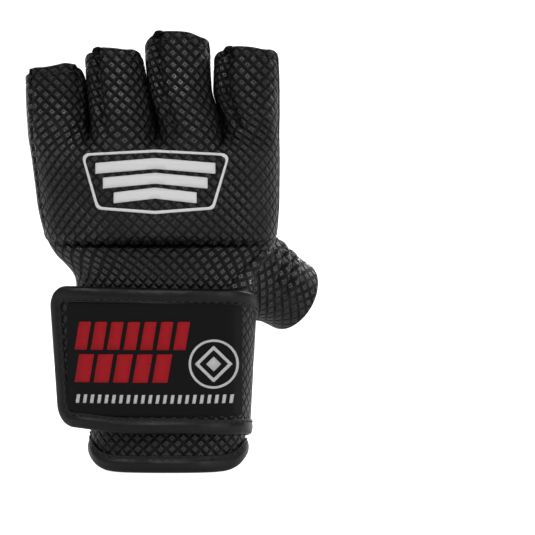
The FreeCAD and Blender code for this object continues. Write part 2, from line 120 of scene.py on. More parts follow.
class Nodes:
    """A short way to write a material's nodes."""

    def __init__(self, name):
        self.material = bpy.data.materials.new(name)
        self.material.use_nodes = True
        self.tree = self.material.node_tree
        self.tree.nodes.clear()
        self.out = self.tree.nodes.new("ShaderNodeOutputMaterial")
        self.shader = self.tree.nodes.new("ShaderNodeBsdfPrincipled")
        self.tree.links.new(self.shader.outputs[0], self.out.inputs[0])

    def node(self, kind, inputs=(), **props):
        n = self.tree.nodes.new(kind)
        for key, value in props.items():
            setattr(n, key, value)
        for key, value in dict(inputs).items():
            self.put(n.inputs[key], value)
        return n

    def put(self, socket, value):
        if isinstance(value, bpy.types.NodeSocket):
            self.tree.links.new(value, socket)
        else:
            socket.default_value = value

    def math(self, operation, a, b=0.0, c=0.0):
        return self.node("ShaderNodeMath", {0: a, 1: b, 2: c}, operation=operation).outputs[0]

    def set(self, **values):
        names = {
            "color": "Base Color", "roughness": "Roughness", "normal": "Normal",
            "sheen": "Sheen Weight", "specular": "Specular IOR Level",
        }
        for key, value in values.items():
            self.put(self.shader.inputs[names[key]], value)
        return self.material

    def ramp(self, factor, stops):
        """A colour ramp whose stops are (place, grey or colour)."""
        n = self.node("ShaderNodeValToRGB", {0: factor})
        band = n.color_ramp
        while len(band.elements) < len(stops):
            band.elements.new(0.5)
        for element, (place, value) in zip(band.elements, stops):
            element.position = place
            element.color = value if hasattr(value, "__len__") else (value, value, value, 1)
        return n.outputs[0]

    def noise(self, scale, detail):
        inputs = {"Scale": scale, "Detail": detail, "Roughness": 0.5, "Vector": self.object_space()}
        return self.node("ShaderNodeTexNoise", inputs).outputs[0]

    def bump(self, height, distance, strength=1.0, normal=None):
        inputs = {"Height": height, "Distance": distance, "Strength": strength}
        if normal is not None:
            inputs["Normal"] = normal
        return self.node("ShaderNodeBump", inputs).outputs[0]

    def object_space(self):
        return self.node("ShaderNodeTexCoord").outputs["Object"]

    def millimetres(self):
        """The UV map, which holds tenths of a metre, as millimetres."""
        uv = self.node("ShaderNodeUVMap", uv_map="flat")
        inputs = {0: uv.outputs[0], 1: (100.0, 100.0, 0.0)}
        scaled = self.node("ShaderNodeVectorMath", inputs, operation="MULTIPLY")
        return self.node("ShaderNodeSeparateXYZ", {0: scaled.outputs[0]}).outputs


PITCH = 3.87  # one embossed pyramid, along its sides
LEATHER = (0.003, 0.003, 0.0034, 1)
RING_HIGHLIGHT_AND_WEAR = (0.056, 0.051, 0.046, 1)  # the square on top of a pyramid, painted lighter: partly wear, partly a painted highlight
KNIT_BLACK, KNIT_BLUE = (0.010, 0.011, 0.014, 1), (0.014, 0.016, 0.03, 1)


def leather_grain(n, normal, scale=900.0, distance=0.00008):
    """The leather's own fine pores, over a coarser relief."""
    cells = n.node("ShaderNodeTexVoronoi", {"Vector": n.object_space(), "Scale": scale}).outputs[0]
    return n.bump(cells, distance, 0.5, normal)


def embossed_leather():
    """Black coated leather pressed with small square pyramids that have a pitted, shiny top, painted lighter
    as wear and as a painted highlight.
    """
    n = Nodes("embossed_leather")
    u, v = n.millimetres()[:2]
    per_cell = 1 / (PITCH * math.sqrt(2))
    slopes = [n.math("MULTIPLY", n.math(sign, u, v), per_cell) for sign in ("ADD", "SUBTRACT")]
    sides = [n.math("ABSOLUTE", n.math("SUBTRACT", n.math("FRACT", slope), 0.5)) for slope in slopes]
    outward = n.math("MULTIPLY", n.math("MAXIMUM", *sides), 2.0)  # 0 at a pyramid's middle, 1 in the valley
    stops = [(0.0, 0.35), (0.12, 0.4), (0.2, 0.97), (0.24, 1.0), (0.42, 0.98), (0.48, 0.9), (1.0, 0.0)]
    height = n.ramp(outward, stops)
    ring = n.ramp(outward, [(0.1, 0.0), (0.2, 1.0), (0.42, 1.0), (0.5, 0.0)])
    wear = n.noise(90.0, 4.0)
    patches = n.noise(26.0, 2.0)
    z = n.node("ShaderNodeSeparateXYZ", {0: n.object_space()}).outputs[2]
    # the height up the glove in metres, and how strongly the painted highlight on the pyramid tops shows
    # there
    highlight_heights = [(0.06, 0.4), (0.075, 0.9), (0.1, 0.9), (0.115, 0.3),
             (0.14, 0.4), (0.15, 0.9), (0.175, 0.8), (0.2, 0.4)]
    highlight_by_height = n.ramp(n.math("MULTIPLY", z, 4.0), [(place * 4.0, amount) for place, amount in highlight_heights])
    # the pyramid tops get a lighter colour: partly wear, partly a painted highlight, laid in noise patches
    # and at the heights where the lamps catch them
    highlight_and_wear = n.math("MULTIPLY", ring, n.ramp(patches, [(0.4, 0.15), (0.58, 1.0)]))
    highlight_and_wear = n.math("MULTIPLY", highlight_and_wear, highlight_by_height)
    color = n.ramp(highlight_and_wear, [(0.0, LEATHER), (1.0, RING_HIGHLIGHT_AND_WEAR)])
    # painted shade: the specular level is lowered in the pits and most of all in the valleys between the
    # pyramids, to darken them
    valley_shade = n.ramp(outward, [(0.1, 0.2), (0.2, 0.36), (0.5, 0.36), (0.8, 0.3), (1.0, 0.12)])
    shine = n.math("ADD", valley_shade, n.math("MULTIPLY", highlight_and_wear, 0.35))
    rough = n.math("SUBTRACT", n.ramp(wear, [(0.3, 0.44), (0.7, 0.54)]), n.math("MULTIPLY", highlight_and_wear, 0.2))
    grain = leather_grain(n, n.bump(height, 0.0008, 1.0))
    return n.set(color=color, roughness=rough, normal=grain, specular=shine)


def smooth_leather():
    """Thin folded tape of the same leather, unembossed, with a slight pucker."""
    n = Nodes("smooth_leather")
    wave = n.noise(260.0, 2.0)
    grain = leather_grain(n, n.bump(wave, 0.0005, 0.5), 1500.0, 0.00004)
    rough = n.ramp(n.noise(60.0, 3.0), [(0.3, 0.36), (0.7, 0.47)])
    return n.set(color=(0.0035, 0.0035, 0.004, 1), roughness=rough, normal=grain, specular=0.28)


def ribbed_knit():
    """Dark lining with fine ribs across the hand."""
    n = Nodes("ribbed_knit")
    u, v = n.millimetres()[:2]
    rib = n.math("SINE", n.math("MULTIPLY", v, 2 * math.pi / 1.35))
    loop = n.math("SINE", n.math("MULTIPLY", u, 2 * math.pi / 0.9))
    height = n.math("ADD", n.math("MULTIPLY", rib, 0.5), n.math("MULTIPLY", loop, 0.15))
    tint = n.ramp(n.noise(25.0, 2.0), [(0.4, KNIT_BLACK), (0.65, KNIT_BLUE)])
    return n.set(color=tint, roughness=0.85, normal=n.bump(height, 0.0003, 0.8), sheen=0.25, specular=0.25)


def woven(name, color):
    """The label's satin weave, dyed one colour, with painted shade in the weave's low places."""
    n = Nodes(name)
    u, v = n.millimetres()[:2]
    warp = n.math("SINE", n.math("MULTIPLY", u, 2 * math.pi / 0.42))
    weft = n.math("SINE", n.math("MULTIPLY", v, 2 * math.pi / 0.36))
    height = n.math("MULTIPLY", warp, weft)
    dye_and_shade = n.node("ShaderNodeMix", data_type="RGBA", blend_type="MULTIPLY")
    dye_and_shade.inputs[0].default_value = 0.3
    colors = [s for s in dye_and_shade.inputs if s.type == "RGBA"]
    colors[0].default_value = color
    # painted shade: the colour is darkened where the weave lies low
    n.put(colors[1], n.ramp(height, [(0.0, 0.35), (1.0, 1.0)]))
    out = [s for s in dye_and_shade.outputs if s.type == "RGBA"][0]
    return n.set(color=out, roughness=0.7, normal=n.bump(height, 0.00012, 0.6), specular=0.15)


def plain(name, color, roughness, bump_scale, distance, **more):
    """One colour with a fine, uneven surface."""
    n = Nodes(name)
    height = n.noise(bump_scale, 3.0)
    return n.set(color=color, roughness=roughness, normal=n.bump(height, distance, 0.6), **more)


EMBOSSED = embossed_leather()
SMOOTH = smooth_leather()
KNIT = ribbed_knit()
LABEL_BLACK = woven("woven_black", (0.005, 0.005, 0.0055, 1))
LABEL_RED = woven("woven_red", (0.48, 0.012, 0.02, 1))
LABEL_WHITE = woven("woven_white", (0.72, 0.72, 0.72, 1))
THREAD = plain("black_thread", (0.005, 0.005, 0.0055, 1), 0.6, 2500.0, 0.0001)
PRINT = plain("white_print", (0.72, 0.72, 0.72, 1), 0.42, 700.0, 0.00004)
HOOK = plain("hook_pile", (0.012, 0.012, 0.013, 1), 0.6, 1800.0, 0.0006)
LOOP = plain("loop_pile", (0.006, 0.006, 0.0065, 1), 0.9, 1200.0, 0.0005, sheen=0.05)


# ---------------------------------------------------------------- meshes

def lattice(points, flat, wrap=False, keep=None):
    """A grid of points in rows, with flat coordinates in millimetres. keep drops faces."""
    return {"p": np.asarray(points, float), "uv": np.asarray(flat, float), "wrap": wrap, "keep": keep}


def lattice_faces(grid):
    """The quads of a grid, as numbers of its points."""
    rows, columns = grid["p"].shape[:2]
    index = np.arange(rows * columns).reshape(rows, columns)
    if grid["wrap"]:
        index = np.concatenate([index, index[:, :1]], axis=1)
    quads = np.stack([index[:-1, :-1], index[:-1, 1:], index[1:, 1:], index[1:, :-1]], axis=-1)
    if grid["keep"] is not None:
        quads = quads[grid["keep"]]
    return quads.reshape(-1, 4)


def vertex_normals(grids):
    """Smooth normals of several grids, shared where their points meet."""
    points = np.concatenate([g["p"].reshape(-1, 3) for g in grids])
    faces = []
    start = 0
    for g in grids:
        faces.append(lattice_faces({**g, "keep": None}) + start)
        start += g["p"].shape[0] * g["p"].shape[1]
    faces = np.concatenate(faces)
    a, b, c, d = (points[faces[:, k]] for k in range(4))
    normal = np.cross(c - a, d - b)
    keys = np.round(points * 100).astype(np.int64)
    _, shared = np.unique(keys, axis=0, return_inverse=True)
    shared = shared.reshape(-1)
    total = np.zeros((shared.max() + 1, 3))
    for k in range(4):
        np.add.at(total, shared[faces[:, k]], normal)
    normals = unit(total)[shared]
    out = []
    start = 0
    for g in grids:
        count = g["p"].shape[0] * g["p"].shape[1]
        out.append(normals[start:start + count].reshape(g["p"].shape))
        start += count
    return out


def make_mesh(name, points, faces, material, flat=None, loop_normals=None):
    """A mesh object from points in millimetres."""
    mesh = bpy.data.meshes.new(name)
    mesh.from_pydata((np.asarray(points) * MM).tolist(), [], [list(map(int, f)) for f in faces])
    mesh.update()
    if flat is not None:
        layer = mesh.uv_layers.new(name="flat")
        corner = np.zeros(len(mesh.loops), np.int32)
        mesh.loops.foreach_get("vertex_index", corner)
        layer.data.foreach_set("uv", (np.asarray(flat)[corner] / 100.0).astype(np.float32).ravel())
    mesh.polygons.foreach_set("use_smooth", [True] * len(mesh.polygons))
    if loop_normals is not None:
        mesh.normals_split_custom_set(loop_normals.tolist())
    mesh.materials.append(material)
    thing = bpy.data.objects.new(name, mesh)
    bpy.context.scene.collection.objects.link(thing)
    return thing


def skin(name, grids, material, thickness=1.2, normals=None):
    """One closed sheet of even thickness behind the outer face of the grids."""
    normals = normals or vertex_normals(grids)
    points = np.concatenate([g["p"].reshape(-1, 3) for g in grids])
    out_n = np.concatenate([n.reshape(-1, 3) for n in normals])
    flat = np.concatenate([g["uv"].reshape(-1, 2) for g in grids])
    faces = []
    start = 0
    for g in grids:
        faces.append(lattice_faces(g) + start)
        start += g["p"].shape[0] * g["p"].shape[1]
    faces = np.concatenate(faces)
    used = np.unique(faces)
    place = np.full(len(points), -1)
    place[used] = np.arange(len(used))
    points, out_n, flat, faces = points[used], out_n[used], flat[used], place[faces]
    count = len(points)
    keys = np.round(points * 100).astype(np.int64)
    _, shared = np.unique(keys, axis=0, return_inverse=True)
    shared = shared.reshape(-1)
    edges = np.concatenate([faces[:, [k, (k + 1) % 4]] for k in range(4)])
    joint = np.sort(shared[edges], axis=1)
    _, first, repeats = np.unique(joint, axis=0, return_index=True, return_counts=True)
    rim = edges[first[repeats == 1]]
    rim = rim[shared[rim[:, 0]] != shared[rim[:, 1]]]
    sides = np.stack([rim[:, 1], rim[:, 0], rim[:, 0] + count, rim[:, 1] + count], axis=1)
    inner = faces[:, ::-1] + count
    all_points = np.concatenate([points, points - out_n * thickness])
    all_faces = np.concatenate([faces, inner, sides])
    corner_n = np.concatenate([out_n[faces].reshape(-1, 3), -out_n[faces[:, ::-1]].reshape(-1, 3)])
    a, b, c = (all_points[sides[:, k]] for k in range(3))
    side_n = np.repeat(unit(np.cross(b - a, c - a)), 4, axis=0)
    loops = np.concatenate([corner_n, side_n])
    return make_mesh(name, all_points, all_faces, material, np.concatenate([flat, flat]), loops)


def across_line(path, normals, closed):
    """For each point of a line on a surface, the direction along the surface to the line's left."""
    ahead = np.roll(path, -1, axis=0) - np.roll(path, 1, axis=0)
    if not closed:
        ahead[0] = path[1] - path[0]
        ahead[-1] = path[-1] - path[-2]
    return unit(np.cross(normals, unit(ahead)))


def inset_line(path, normals, inset, lift, closed=False):
    """A line beside the path, on the tape."""
    across = across_line(path, normals, closed)
    line = path + across * inset + normals * lift
    return np.vstack([line, line[:1]]) if closed else line


def tape(name, path, normals, width, layer, proud, closed=False, flip=False, fold=1.3):
    """Folded tape over a sheet's edge. It lies to the edge's left, or to its right if flipped."""
    across = across_line(path, normals, closed)
    if flip:
        across = -across
    top, low = proud, -layer - proud
    middle = (top + low) / 2
    half = (top - low) / 2
    section = [(width, 0.0), (width, top * 0.8), (width - 0.5, top * 0.95), (width - 1.2, top * 0.4),
               (width - 2.0, top * 1.2), (width * 0.45, top * 1.45), (1.2, top * 1.3)]
    for angle in np.linspace(80, -80, 7):
        a = math.radians(angle)
        section.append((-fold * math.cos(a) + 0.3, middle + half * 1.02 * math.sin(a)))
    section += [(1.2, low * 1.05), (width * 0.8, low), (width * 0.8, -layer)]
    if flip:
        section = section[::-1]
    shape = np.array(section)
    lengths = along(path)
    points = path[:, None] + across[:, None] * shape[None, :, :1] + normals[:, None] * shape[None, :, 1:]
    girth = along(np.vstack([shape, shape[:1]]))[:-1]
    flat = np.stack(np.broadcast_arrays(lengths[:, None], girth[None]), axis=-1)
    rows, columns = points.shape[:2]
    index = np.arange(rows * columns).reshape(rows, columns)
    index = np.concatenate([index, index[:, :1]], axis=1)
    if closed:
        index = np.concatenate([index, index[:1]], axis=0)
    quads = np.stack([index[:-1, :-1], index[1:, :-1], index[1:, 1:], index[:-1, 1:]], axis=-1).reshape(-1, 4)
    faces = quads.tolist()
    if not closed:
        faces += [index[0, :-1].tolist(), index[-1, :-1][::-1].tolist()]
    return make_mesh(name, points.reshape(-1, 3), faces, SMOOTH, flat.reshape(-1, 2))


def stitches(name, lines, length=2.7, gap=1.3, radius=0.4, sink=0.08):
    """Rows of thread stitches. Each line is a path and the surface normals along it."""
    sides, rings = 6, 5
    points, faces = [], []
    for path, normals in lines:
        s = along(path)
        count = int((s[-1] + gap) / (length + gap))
        for k in range(count):
            start = k * (length + gap)
            places = np.linspace(start, start + length, rings)
            centre = np.stack([np.interp(places, s, path[:, j]) for j in range(3)], axis=1)
            up = unit(np.stack([np.interp(places, s, normals[:, j]) for j in range(3)], axis=1))
            ahead = unit(np.gradient(centre, axis=0))
            side = np.cross(ahead, up)
            swell = np.array([0.35, 0.85, 1.0, 0.85, 0.35])[:, None, None] * radius
            drop = np.array([-0.4, 0.0, 0.08, 0.0, -0.4])[:, None] * radius * 2
            angles = np.linspace(0, 2 * math.pi, sides, endpoint=False)
            ring = side[:, None] * np.cos(angles)[None, :, None] + up[:, None] * np.sin(angles)[None, :, None]
            shape = centre[:, None] + (up * (drop - sink))[:, None] + ring * swell
            base = len(points)
            points.extend(shape.reshape(-1, 3).tolist())
            for r in range(rings - 1):
                for c in range(sides):
                    d = (c + 1) % sides
                    faces.append([base + r * sides + c, base + r * sides + d,
                                  base + (r + 1) * sides + d, base + (r + 1) * sides + c])
            faces.append([base + c for c in range(sides)][::-1])
            faces.append([base + (rings - 1) * sides + c for c in range(sides)])
    return make_mesh(name, points, faces, THREAD)


def flat_shape(name, loops, surface, material, lift, depth, step=1.6, turn=0.0):
    """A thin raised shape on a surface. loops are outlines in flat x and z, holes included."""
    points, edges = [], []
    for loop in loops:
        line = resample(loop, 0.8, closed=True)
        base = len(points)
        points.extend(map(tuple, line))
        edges.extend((base + i, base + (i + 1) % len(line)) for i in range(len(line)))
    low, high = np.min(points, axis=0), np.max(points, axis=0)
    for x in np.arange(low[0] + step / 2, high[0], step):
        for z in np.arange(low[1] + step / 2, high[1], step):
            gaps = np.hypot(*(np.array(points[:len(edges)]) - (x, z)).T)
            if gaps.min() > step * 0.5:
                points.append((x, z))
    out = geometry.delaunay_2d_cdt([Vector(p) for p in points], edges, [], 0, 1e-4)
    where = np.array([tuple(v) for v in out[0]])
    triangles = np.array([f for f in out[2] if len(f) == 3])
    centres = where[triangles].mean(axis=1)
    inside = np.zeros(len(centres), bool)
    for loop in loops:
        inside ^= in_outline(centres, np.asarray(loop))
    triangles = triangles[inside]
    outer, normals = surface(where[:, 0], where[:, 1])
    if np.cross(outer[triangles[0, 1]] - outer[triangles[0, 0]],
                outer[triangles[0, 2]] - outer[triangles[0, 0]]) @ normals[triangles[0, 0]] < 0:
        triangles = triangles[:, ::-1]
    count = len(outer)
    edge = np.concatenate([triangles[:, [k, (k + 1) % 3]] for k in range(3)])
    _, first, repeats = np.unique(np.sort(edge, axis=1), axis=0, return_index=True, return_counts=True)
    rim = edge[first[repeats == 1]]
    sides = np.stack([rim[:, 1], rim[:, 0], rim[:, 0] + count, rim[:, 1] + count], axis=1)
    top = outer + normals * lift
    points = np.concatenate([top, top - normals * depth])
    faces = triangles.tolist() + (triangles[:, ::-1] + count).tolist() + sides.tolist()
    used = np.unique(np.concatenate([triangles.ravel(), triangles.ravel() + count]))
    place = np.full(len(points), -1)
    place[used] = np.arange(len(used))
    faces = [[int(place[i]) for i in f] for f in faces]
    a = math.radians(turn)
    rotated = where @ np.array([[math.cos(a), math.sin(a)], [-math.sin(a), math.cos(a)]])
    flat = np.concatenate([rotated, rotated])[used]
    thing = make_mesh(name, points[used], faces, material, flat)
    thing.data.polygons.foreach_set("use_smooth", [len(f) == 3 for f in faces])
    return thing


def in_outline(points, loop):
    """Which points lie inside a closed outline."""
    x, y = points[:, 0], points[:, 1]
    inside = np.zeros(len(points), bool)
    for (x0, y0), (x1, y1) in zip(loop, np.roll(loop, -1, axis=0)):
        crosses = (y0 > y) != (y1 > y)
        with np.errstate(divide="ignore", invalid="ignore"):
            inside ^= crosses & (x < (x1 - x0) * (y - y0) / (y1 - y0) + x0)
    return inside


def outline(corners, step=1.0):
    """The outline that wraps round corners of (x, z, radius), counter-clockwise."""
    points = []
    count = len(corners)
    for i in range(count):
        (x0, z0, r0), (x, z, r), (x1, z1, r1) = corners[i - 1], corners[i], corners[(i + 1) % count]
        first, last = touch_angle(x0, z0, r0, x, z, r), touch_angle(x, z, r, x1, z1, r1)
        while last < first:
            last += 2 * math.pi
        for a in np.linspace(first, last, max(2, int(r * (last - first) / step) + 1)):
            points.append((x + r * math.cos(a), z + r * math.sin(a)))
    return resample(points, step, closed=True)


def touch_angle(x0, z0, r0, x1, z1, r1):
    """The angle at which a straight line touches two circles on their outer side."""
    gap = math.hypot(x1 - x0, z1 - z0)
    ux, uz = (x1 - x0) / gap, (z1 - z0) / gap
    lean = (r0 - r1) / gap
    level = math.sqrt(1 - lean * lean)
    return math.atan2(-ux * level + uz * lean, uz * level + ux * lean)


def attach(piece, holder, slot, *nodes):
    """Fastens a piece to a body, or hands it to a function, and hides the CAD parts it stands for. The slot
    is not used.
    """
    if callable(holder):
        holder(piece)
    else:
        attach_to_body(piece, holder)
    if nodes:
        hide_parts(*nodes)


# ---------------------------------------------------------------- the hand's surfaces

SIDE_Y = -5.0  # where the palm half meets the back half
TUBE_Y = -8.0  # the same on the fingers
ROUND = 2.25  # how boxy the hand's sections are; 2 is an ellipse
FINGER_ROUND = 3.1
# height: centre, half width, palm depth, back depth
HULL = spline([
    (66, -0.5, 36.6, 29.3, 19.6), (72, -0.6, 37.8, 29.5, 19.9), (78, -0.8, 40.2, 29.4, 20.3),
    (84, -1.0, 41.6, 29.3, 20.8), (92, -1.3, 42.9, 29.1, 21.6), (96, -1.7, 45.6, 28.9, 21.8),
    (100, -2.2, 49.2, 28.7, 22.0), (107, -3.0, 53.0, 28.5, 22.4), (120, -4.2, 56.0, 27.5, 25.0),
    (134, -5.0, 57.2, 26.5, 26.5), (158, -6.5, 58.8, 24.0, 26.0),
])
PAD = spline([(104, 27.2), (112, 30.2), (122, 31.2), (134, 30.6), (158, 27.5)])
# height: left edge, right edge, back depth, palm depth
TUBES = {
    "little": spline([(150, -64.9, -35.8, 24.0, 16.0), (160, -65.3, -36.0, 22.0, 16.5),
                      (166, -65.7, -36.7, 20.0, 17.0), (181, -66.3, -38.0, 15.0, 17.5),
                      (189, -66.5, -40.2, 13.0, 17.5)]),
    "ring": spline([(150, -35.8, -4.6, 26.0, 17.0), (160, -36.0, -4.6, 25.0, 17.5),
                    (166, -36.7, -6.0, 23.0, 18.0), (176, -37.6, -8.5, 19.5, 18.5),
                    (184, -38.2, -9.9, 16.5, 18.5), (195, -38.8, -12.0, 14.0, 18.0)]),
    "middle": spline([(150, -4.6, 25.4, 26.0, 17.0), (160, -4.6, 25.4, 25.0, 17.5),
                      (166, -6.0, 24.5, 23.5, 18.0), (171, -7.2, 22.6, 22.0, 18.4),
                      (176, -8.5, 21.0, 20.0, 18.8), (184, -9.8, 20.2, 17.5, 19.0),
                      (204, -11.1, 20.0, 14.0, 18.5)]),
    "index": spline([(150, 25.4, 51.6, 24.0, 16.0), (160, 25.4, 52.0, 22.5, 16.5),
                     (166, 24.5, 52.3, 20.8, 17.0), (171, 22.6, 52.3, 19.4, 17.2),
                     (176, 21.2, 52.3, 18.0, 17.5), (182, 21.2, 52.2, 16.3, 17.5),
                     (196, 21.6, 51.7, 14.0, 17.0)]),
}
# the rim's height on the back, and how many degrees it leans towards the palm
TIPS = {"little": (188.0, 13), "ring": (195.8, 15), "middle": (203.2, 24), "index": (196.2, 14)}
RIM_SLOPES = {"little": 0.11, "ring": 0.0, "middle": -0.05, "index": -0.02}  # rise towards the thumb
SEAMS = {"little": (10, 31), "ring": (14, 35), "middle": (14, 36), "index": (14, 36)}  # of 40 strips across
BORDERS = (-65.3, -36.0, -4.6, 25.4, 52.3)  # between the fingers
TOP_CENTRE, TOP_HALF = -6.5, 58.8  # of the hand at the fingers' roots
ACROSS = 40  # strips across half a finger
LEDGE_Z = 107.0
LEDGE_ROUND = 5.0  # radius of the padded back's lower edge
LEDGE_ROWS = 9
ROW_STEP = 1.25
CUT_Z = 140.0  # above it, each finger is a piece of its own
low_rows = LEDGE_ROWS + len(np.arange(LEDGE_Z + LEDGE_ROUND + 1.0, CUT_Z, ROW_STEP))


def border_angle(x):
    """The angle of the hand's section at a place across the fingers' roots."""
    return math.acos(np.clip(power((x - TOP_CENTRE) / TOP_HALF, ROUND / 2), -1, 1))


def side_depth(z):
    """Where the two halves of the hand meet at each height."""
    return TUBE_Y + (SIDE_Y - TUBE_Y) * (1 - smooth(140, 160, z))


def hull_back(angle, z, depth, grow=0.0):
    """The back half of the hand. angle runs from pi, the little finger's side, to 0."""
    cx, w = HULL(z)[..., 0], HULL(z)[..., 1] + grow
    side = side_depth(z)
    x = cx + w * power(np.cos(angle), 2 / ROUND)
    return np.stack([x, side - depth * power(np.sin(angle), 2 / ROUND), z + 0 * x], axis=-1)


def hull_palm(angle, z, grow=0.0):
    """The palm half. angle runs from pi, the little finger's side, to 2 pi."""
    cx, w, palm = (HULL(z)[..., k] for k in range(3))
    side = side_depth(z)
    x = cx + (w + grow) * power(np.cos(angle), 2 / ROUND)
    return np.stack([x, side - (palm + grow) * power(np.sin(angle), 2 / ROUND), z + 0 * x], axis=-1)


def tube_point(finger, angle, z, inset=0.0):
    """A finger's stall. angle runs from pi, its side towards the little finger, over the back to 0."""
    left, right, back, palm = (TUBES[finger](z)[..., k] for k in range(4))
    half = (right - left) / 2 - inset
    depth = np.where(np.sin(angle) > 0, back - inset, palm - inset)
    x = (left + right) / 2 + half * power(np.cos(angle), 2 / FINGER_ROUND)
    y = TUBE_Y - depth * power(np.sin(angle), 2 / FINGER_ROUND)
    return np.stack([x, y, z + 0 * x], axis=-1)


def rim_height(finger, angle):
    """The height of a finger's rim: highest on the back, lower towards the palm."""
    top, lean = TIPS[finger]
    middle, front = tube_point(finger, np.array(math.pi / 2), np.array(top))[:2]
    place = tube_point(finger, angle, np.full(np.shape(angle), top))
    left, right = (math.pi * (1 - s / ACROSS) for s in SEAMS[finger])
    turn = np.abs(angle)
    step = 1.5 * smooth(left - 0.02, left + 0.1, turn) + 1.5 * smooth(0.02 - right, 0.1 - right, -turn)
    wave = 0.35 * np.sin(3 * angle + top) + 0.25 * np.sin(7 * angle + 2 * top)
    tilt = RIM_SLOPES[finger] * (place[..., 0] - middle)
    return top - (place[..., 1] - front) * math.tan(math.radians(lean)) - step + wave + tilt


def stitch_groove(rim, z):
    """How deep the row of stitches below a rim pulls the leather in."""
    return 0.55 * np.exp(-((rim - z - 2.9) / 0.9) ** 2)


def pucker(points):
    """Small folds that gather under the gaps between the fingers."""
    out = points.copy()
    for x0, z0 in ((-36.0, 158.0), (-4.6, 158.0), (25.4, 160.0)):
        dx, dz = out[..., 0] - x0, out[..., 2] - z0
        r = np.hypot(dx, dz)
        fold = np.cos(np.arctan2(dx, -dz) * 7 + x0) * np.exp(-((r - 7) / 6.0) ** 2)
        out[..., 1] += 0.55 * fold * (dz < 4)
    return out


def unevenness(points, size):
    """A slow, repeatable waviness."""
    x, y, z = points[..., 0], points[..., 1], points[..., 2]
    slow = np.sin(x * 0.11 + z * 0.07 + 1.3) * np.sin(z * 0.13 - x * 0.05)
    return size * (slow + 0.6 * np.sin(x * 0.23 - z * 0.19 + y * 0.2))


def column(finger, number):
    """One finger's strip of the padded back, from the ledge to over the rim."""
    t = np.linspace(0, 1, ACROSS + 1)
    first, last = (border_angle(x) for x in BORDERS[number:number + 2])
    hull_angle = first + (last - first) * t
    tube_angle = math.pi * (1 - t)
    rows, heights = [], []
    above = LEDGE_Z + LEDGE_ROUND
    for k in range(LEDGE_ROWS):
        a = math.radians(118 - 118 * k / (LEDGE_ROWS - 1))
        z = above - LEDGE_ROUND * math.sin(a)
        back = LEDGE_ROUND * (1 - math.cos(a))
        low = PAD(np.full(t.shape, above))[..., 0] - back
        rows.append(hull_back(hull_angle, np.full(t.shape, above), low, -0.7 * back))
        rows[-1][:, 2] = z
        heights.append(z if a < math.pi / 2 else LEDGE_Z - LEDGE_ROUND * (a - math.pi / 2))
    for z in np.arange(above + 1.0, CUT_Z, ROW_STEP):
        rows.append(hull_back(hull_angle, np.full(t.shape, z), PAD(np.full(t.shape, z))[..., 0]))
        heights.append(z)
    rim = rim_height(finger, tube_angle)
    for f in np.linspace(0, 1, 52):
        z = CUT_Z + (rim - CUT_Z) * f
        merge = (1 - smooth(147, 167, z))[:, None]
        hull = hull_back(hull_angle, z, PAD(z)[..., 0])
        tube = tube_point(finger, tube_angle, z, stitch_groove(rim, z))
        rows.append(tube * (1 - merge) + hull * merge)
        heights.append(z)
    points = np.array(rows)
    flat = flat_column(points, np.array([h + 0 * t for h in heights]), hull_angle)
    return points, flat


def flat_column(points, heights, hull_angle):
    """Flat coordinates of a column: the whole panel's low down, the finger's own higher up."""
    middle = points.shape[1] // 2
    steps = np.linalg.norm(np.diff(points, axis=1), axis=2)
    run = np.concatenate([np.zeros((len(points), 1)), np.cumsum(steps, axis=1)], axis=1)
    own = run - run[:, middle:middle + 1]
    panel = np.array([panel_length(hull_angle, float(np.clip(h[middle], 108, 150))) for h in heights])
    share = smooth(148, 164, heights)
    centre = panel_length(hull_angle, 150.0)[middle]
    u = panel * (1 - share) + (own + centre) * share
    return np.stack([u, heights], axis=-1)


def panel_length(angles, z):
    """The length round the back of the hand from its middle to each angle."""
    fine = np.linspace(math.pi, 0, 400)
    line = hull_back(fine, np.full(400, z), PAD(np.full(400, z))[..., 0])
    run = along(line)
    run -= np.interp(-math.pi / 2, -fine, run)
    return np.interp(-np.asarray(angles), -fine, run)


def deeper_back(angle, side, more):
    """An inset that is even on the palm side and grows towards the middle of the back."""
    return np.where(np.sin(angle) > 0, side + more * np.sin(angle) ** 2, side)


def rim_roll(finger, angle):
    """Rows that fold a finger's edge over its foam and down inside."""
    rim = rim_height(finger, angle)
    inset = deeper_back(angle, 2.6, 1.0)
    rows = []
    for a in np.radians(np.linspace(20, 180, 8)):
        here = inset / 2 * (1 - math.cos(a))
        rows.append(tube_point(finger, angle, rim, here))
        rows[-1][:, 2] += inset / 2 * math.sin(a) * 0.6
    for drop in (2.0, 5.0, 9.0):
        rows.append(tube_point(finger, angle, rim, inset))
        rows[-1][:, 2] -= drop
    return np.array(rows)


def cuff_point(angle, z, grow=0.0):
    """The wrist tube. angle runs round it with pi at the little finger's side and pi/2 at the back."""
    share = np.asarray(z, float) / 72.0
    x = -0.6 * share + (36.0 + 1.4 * share + grow) * np.cos(angle)
    y = -0.5 * share - (25.0 + grow) * np.sin(angle)
    return np.stack([x, y, z + 0 * x], axis=-1)


def cuff_rise(angle):
    """The wrist's lower edge curves up at the sides."""
    return 7.0 * np.abs(np.cos(angle)) ** 10


# ---------------------------------------------------------------- fingers and padded back

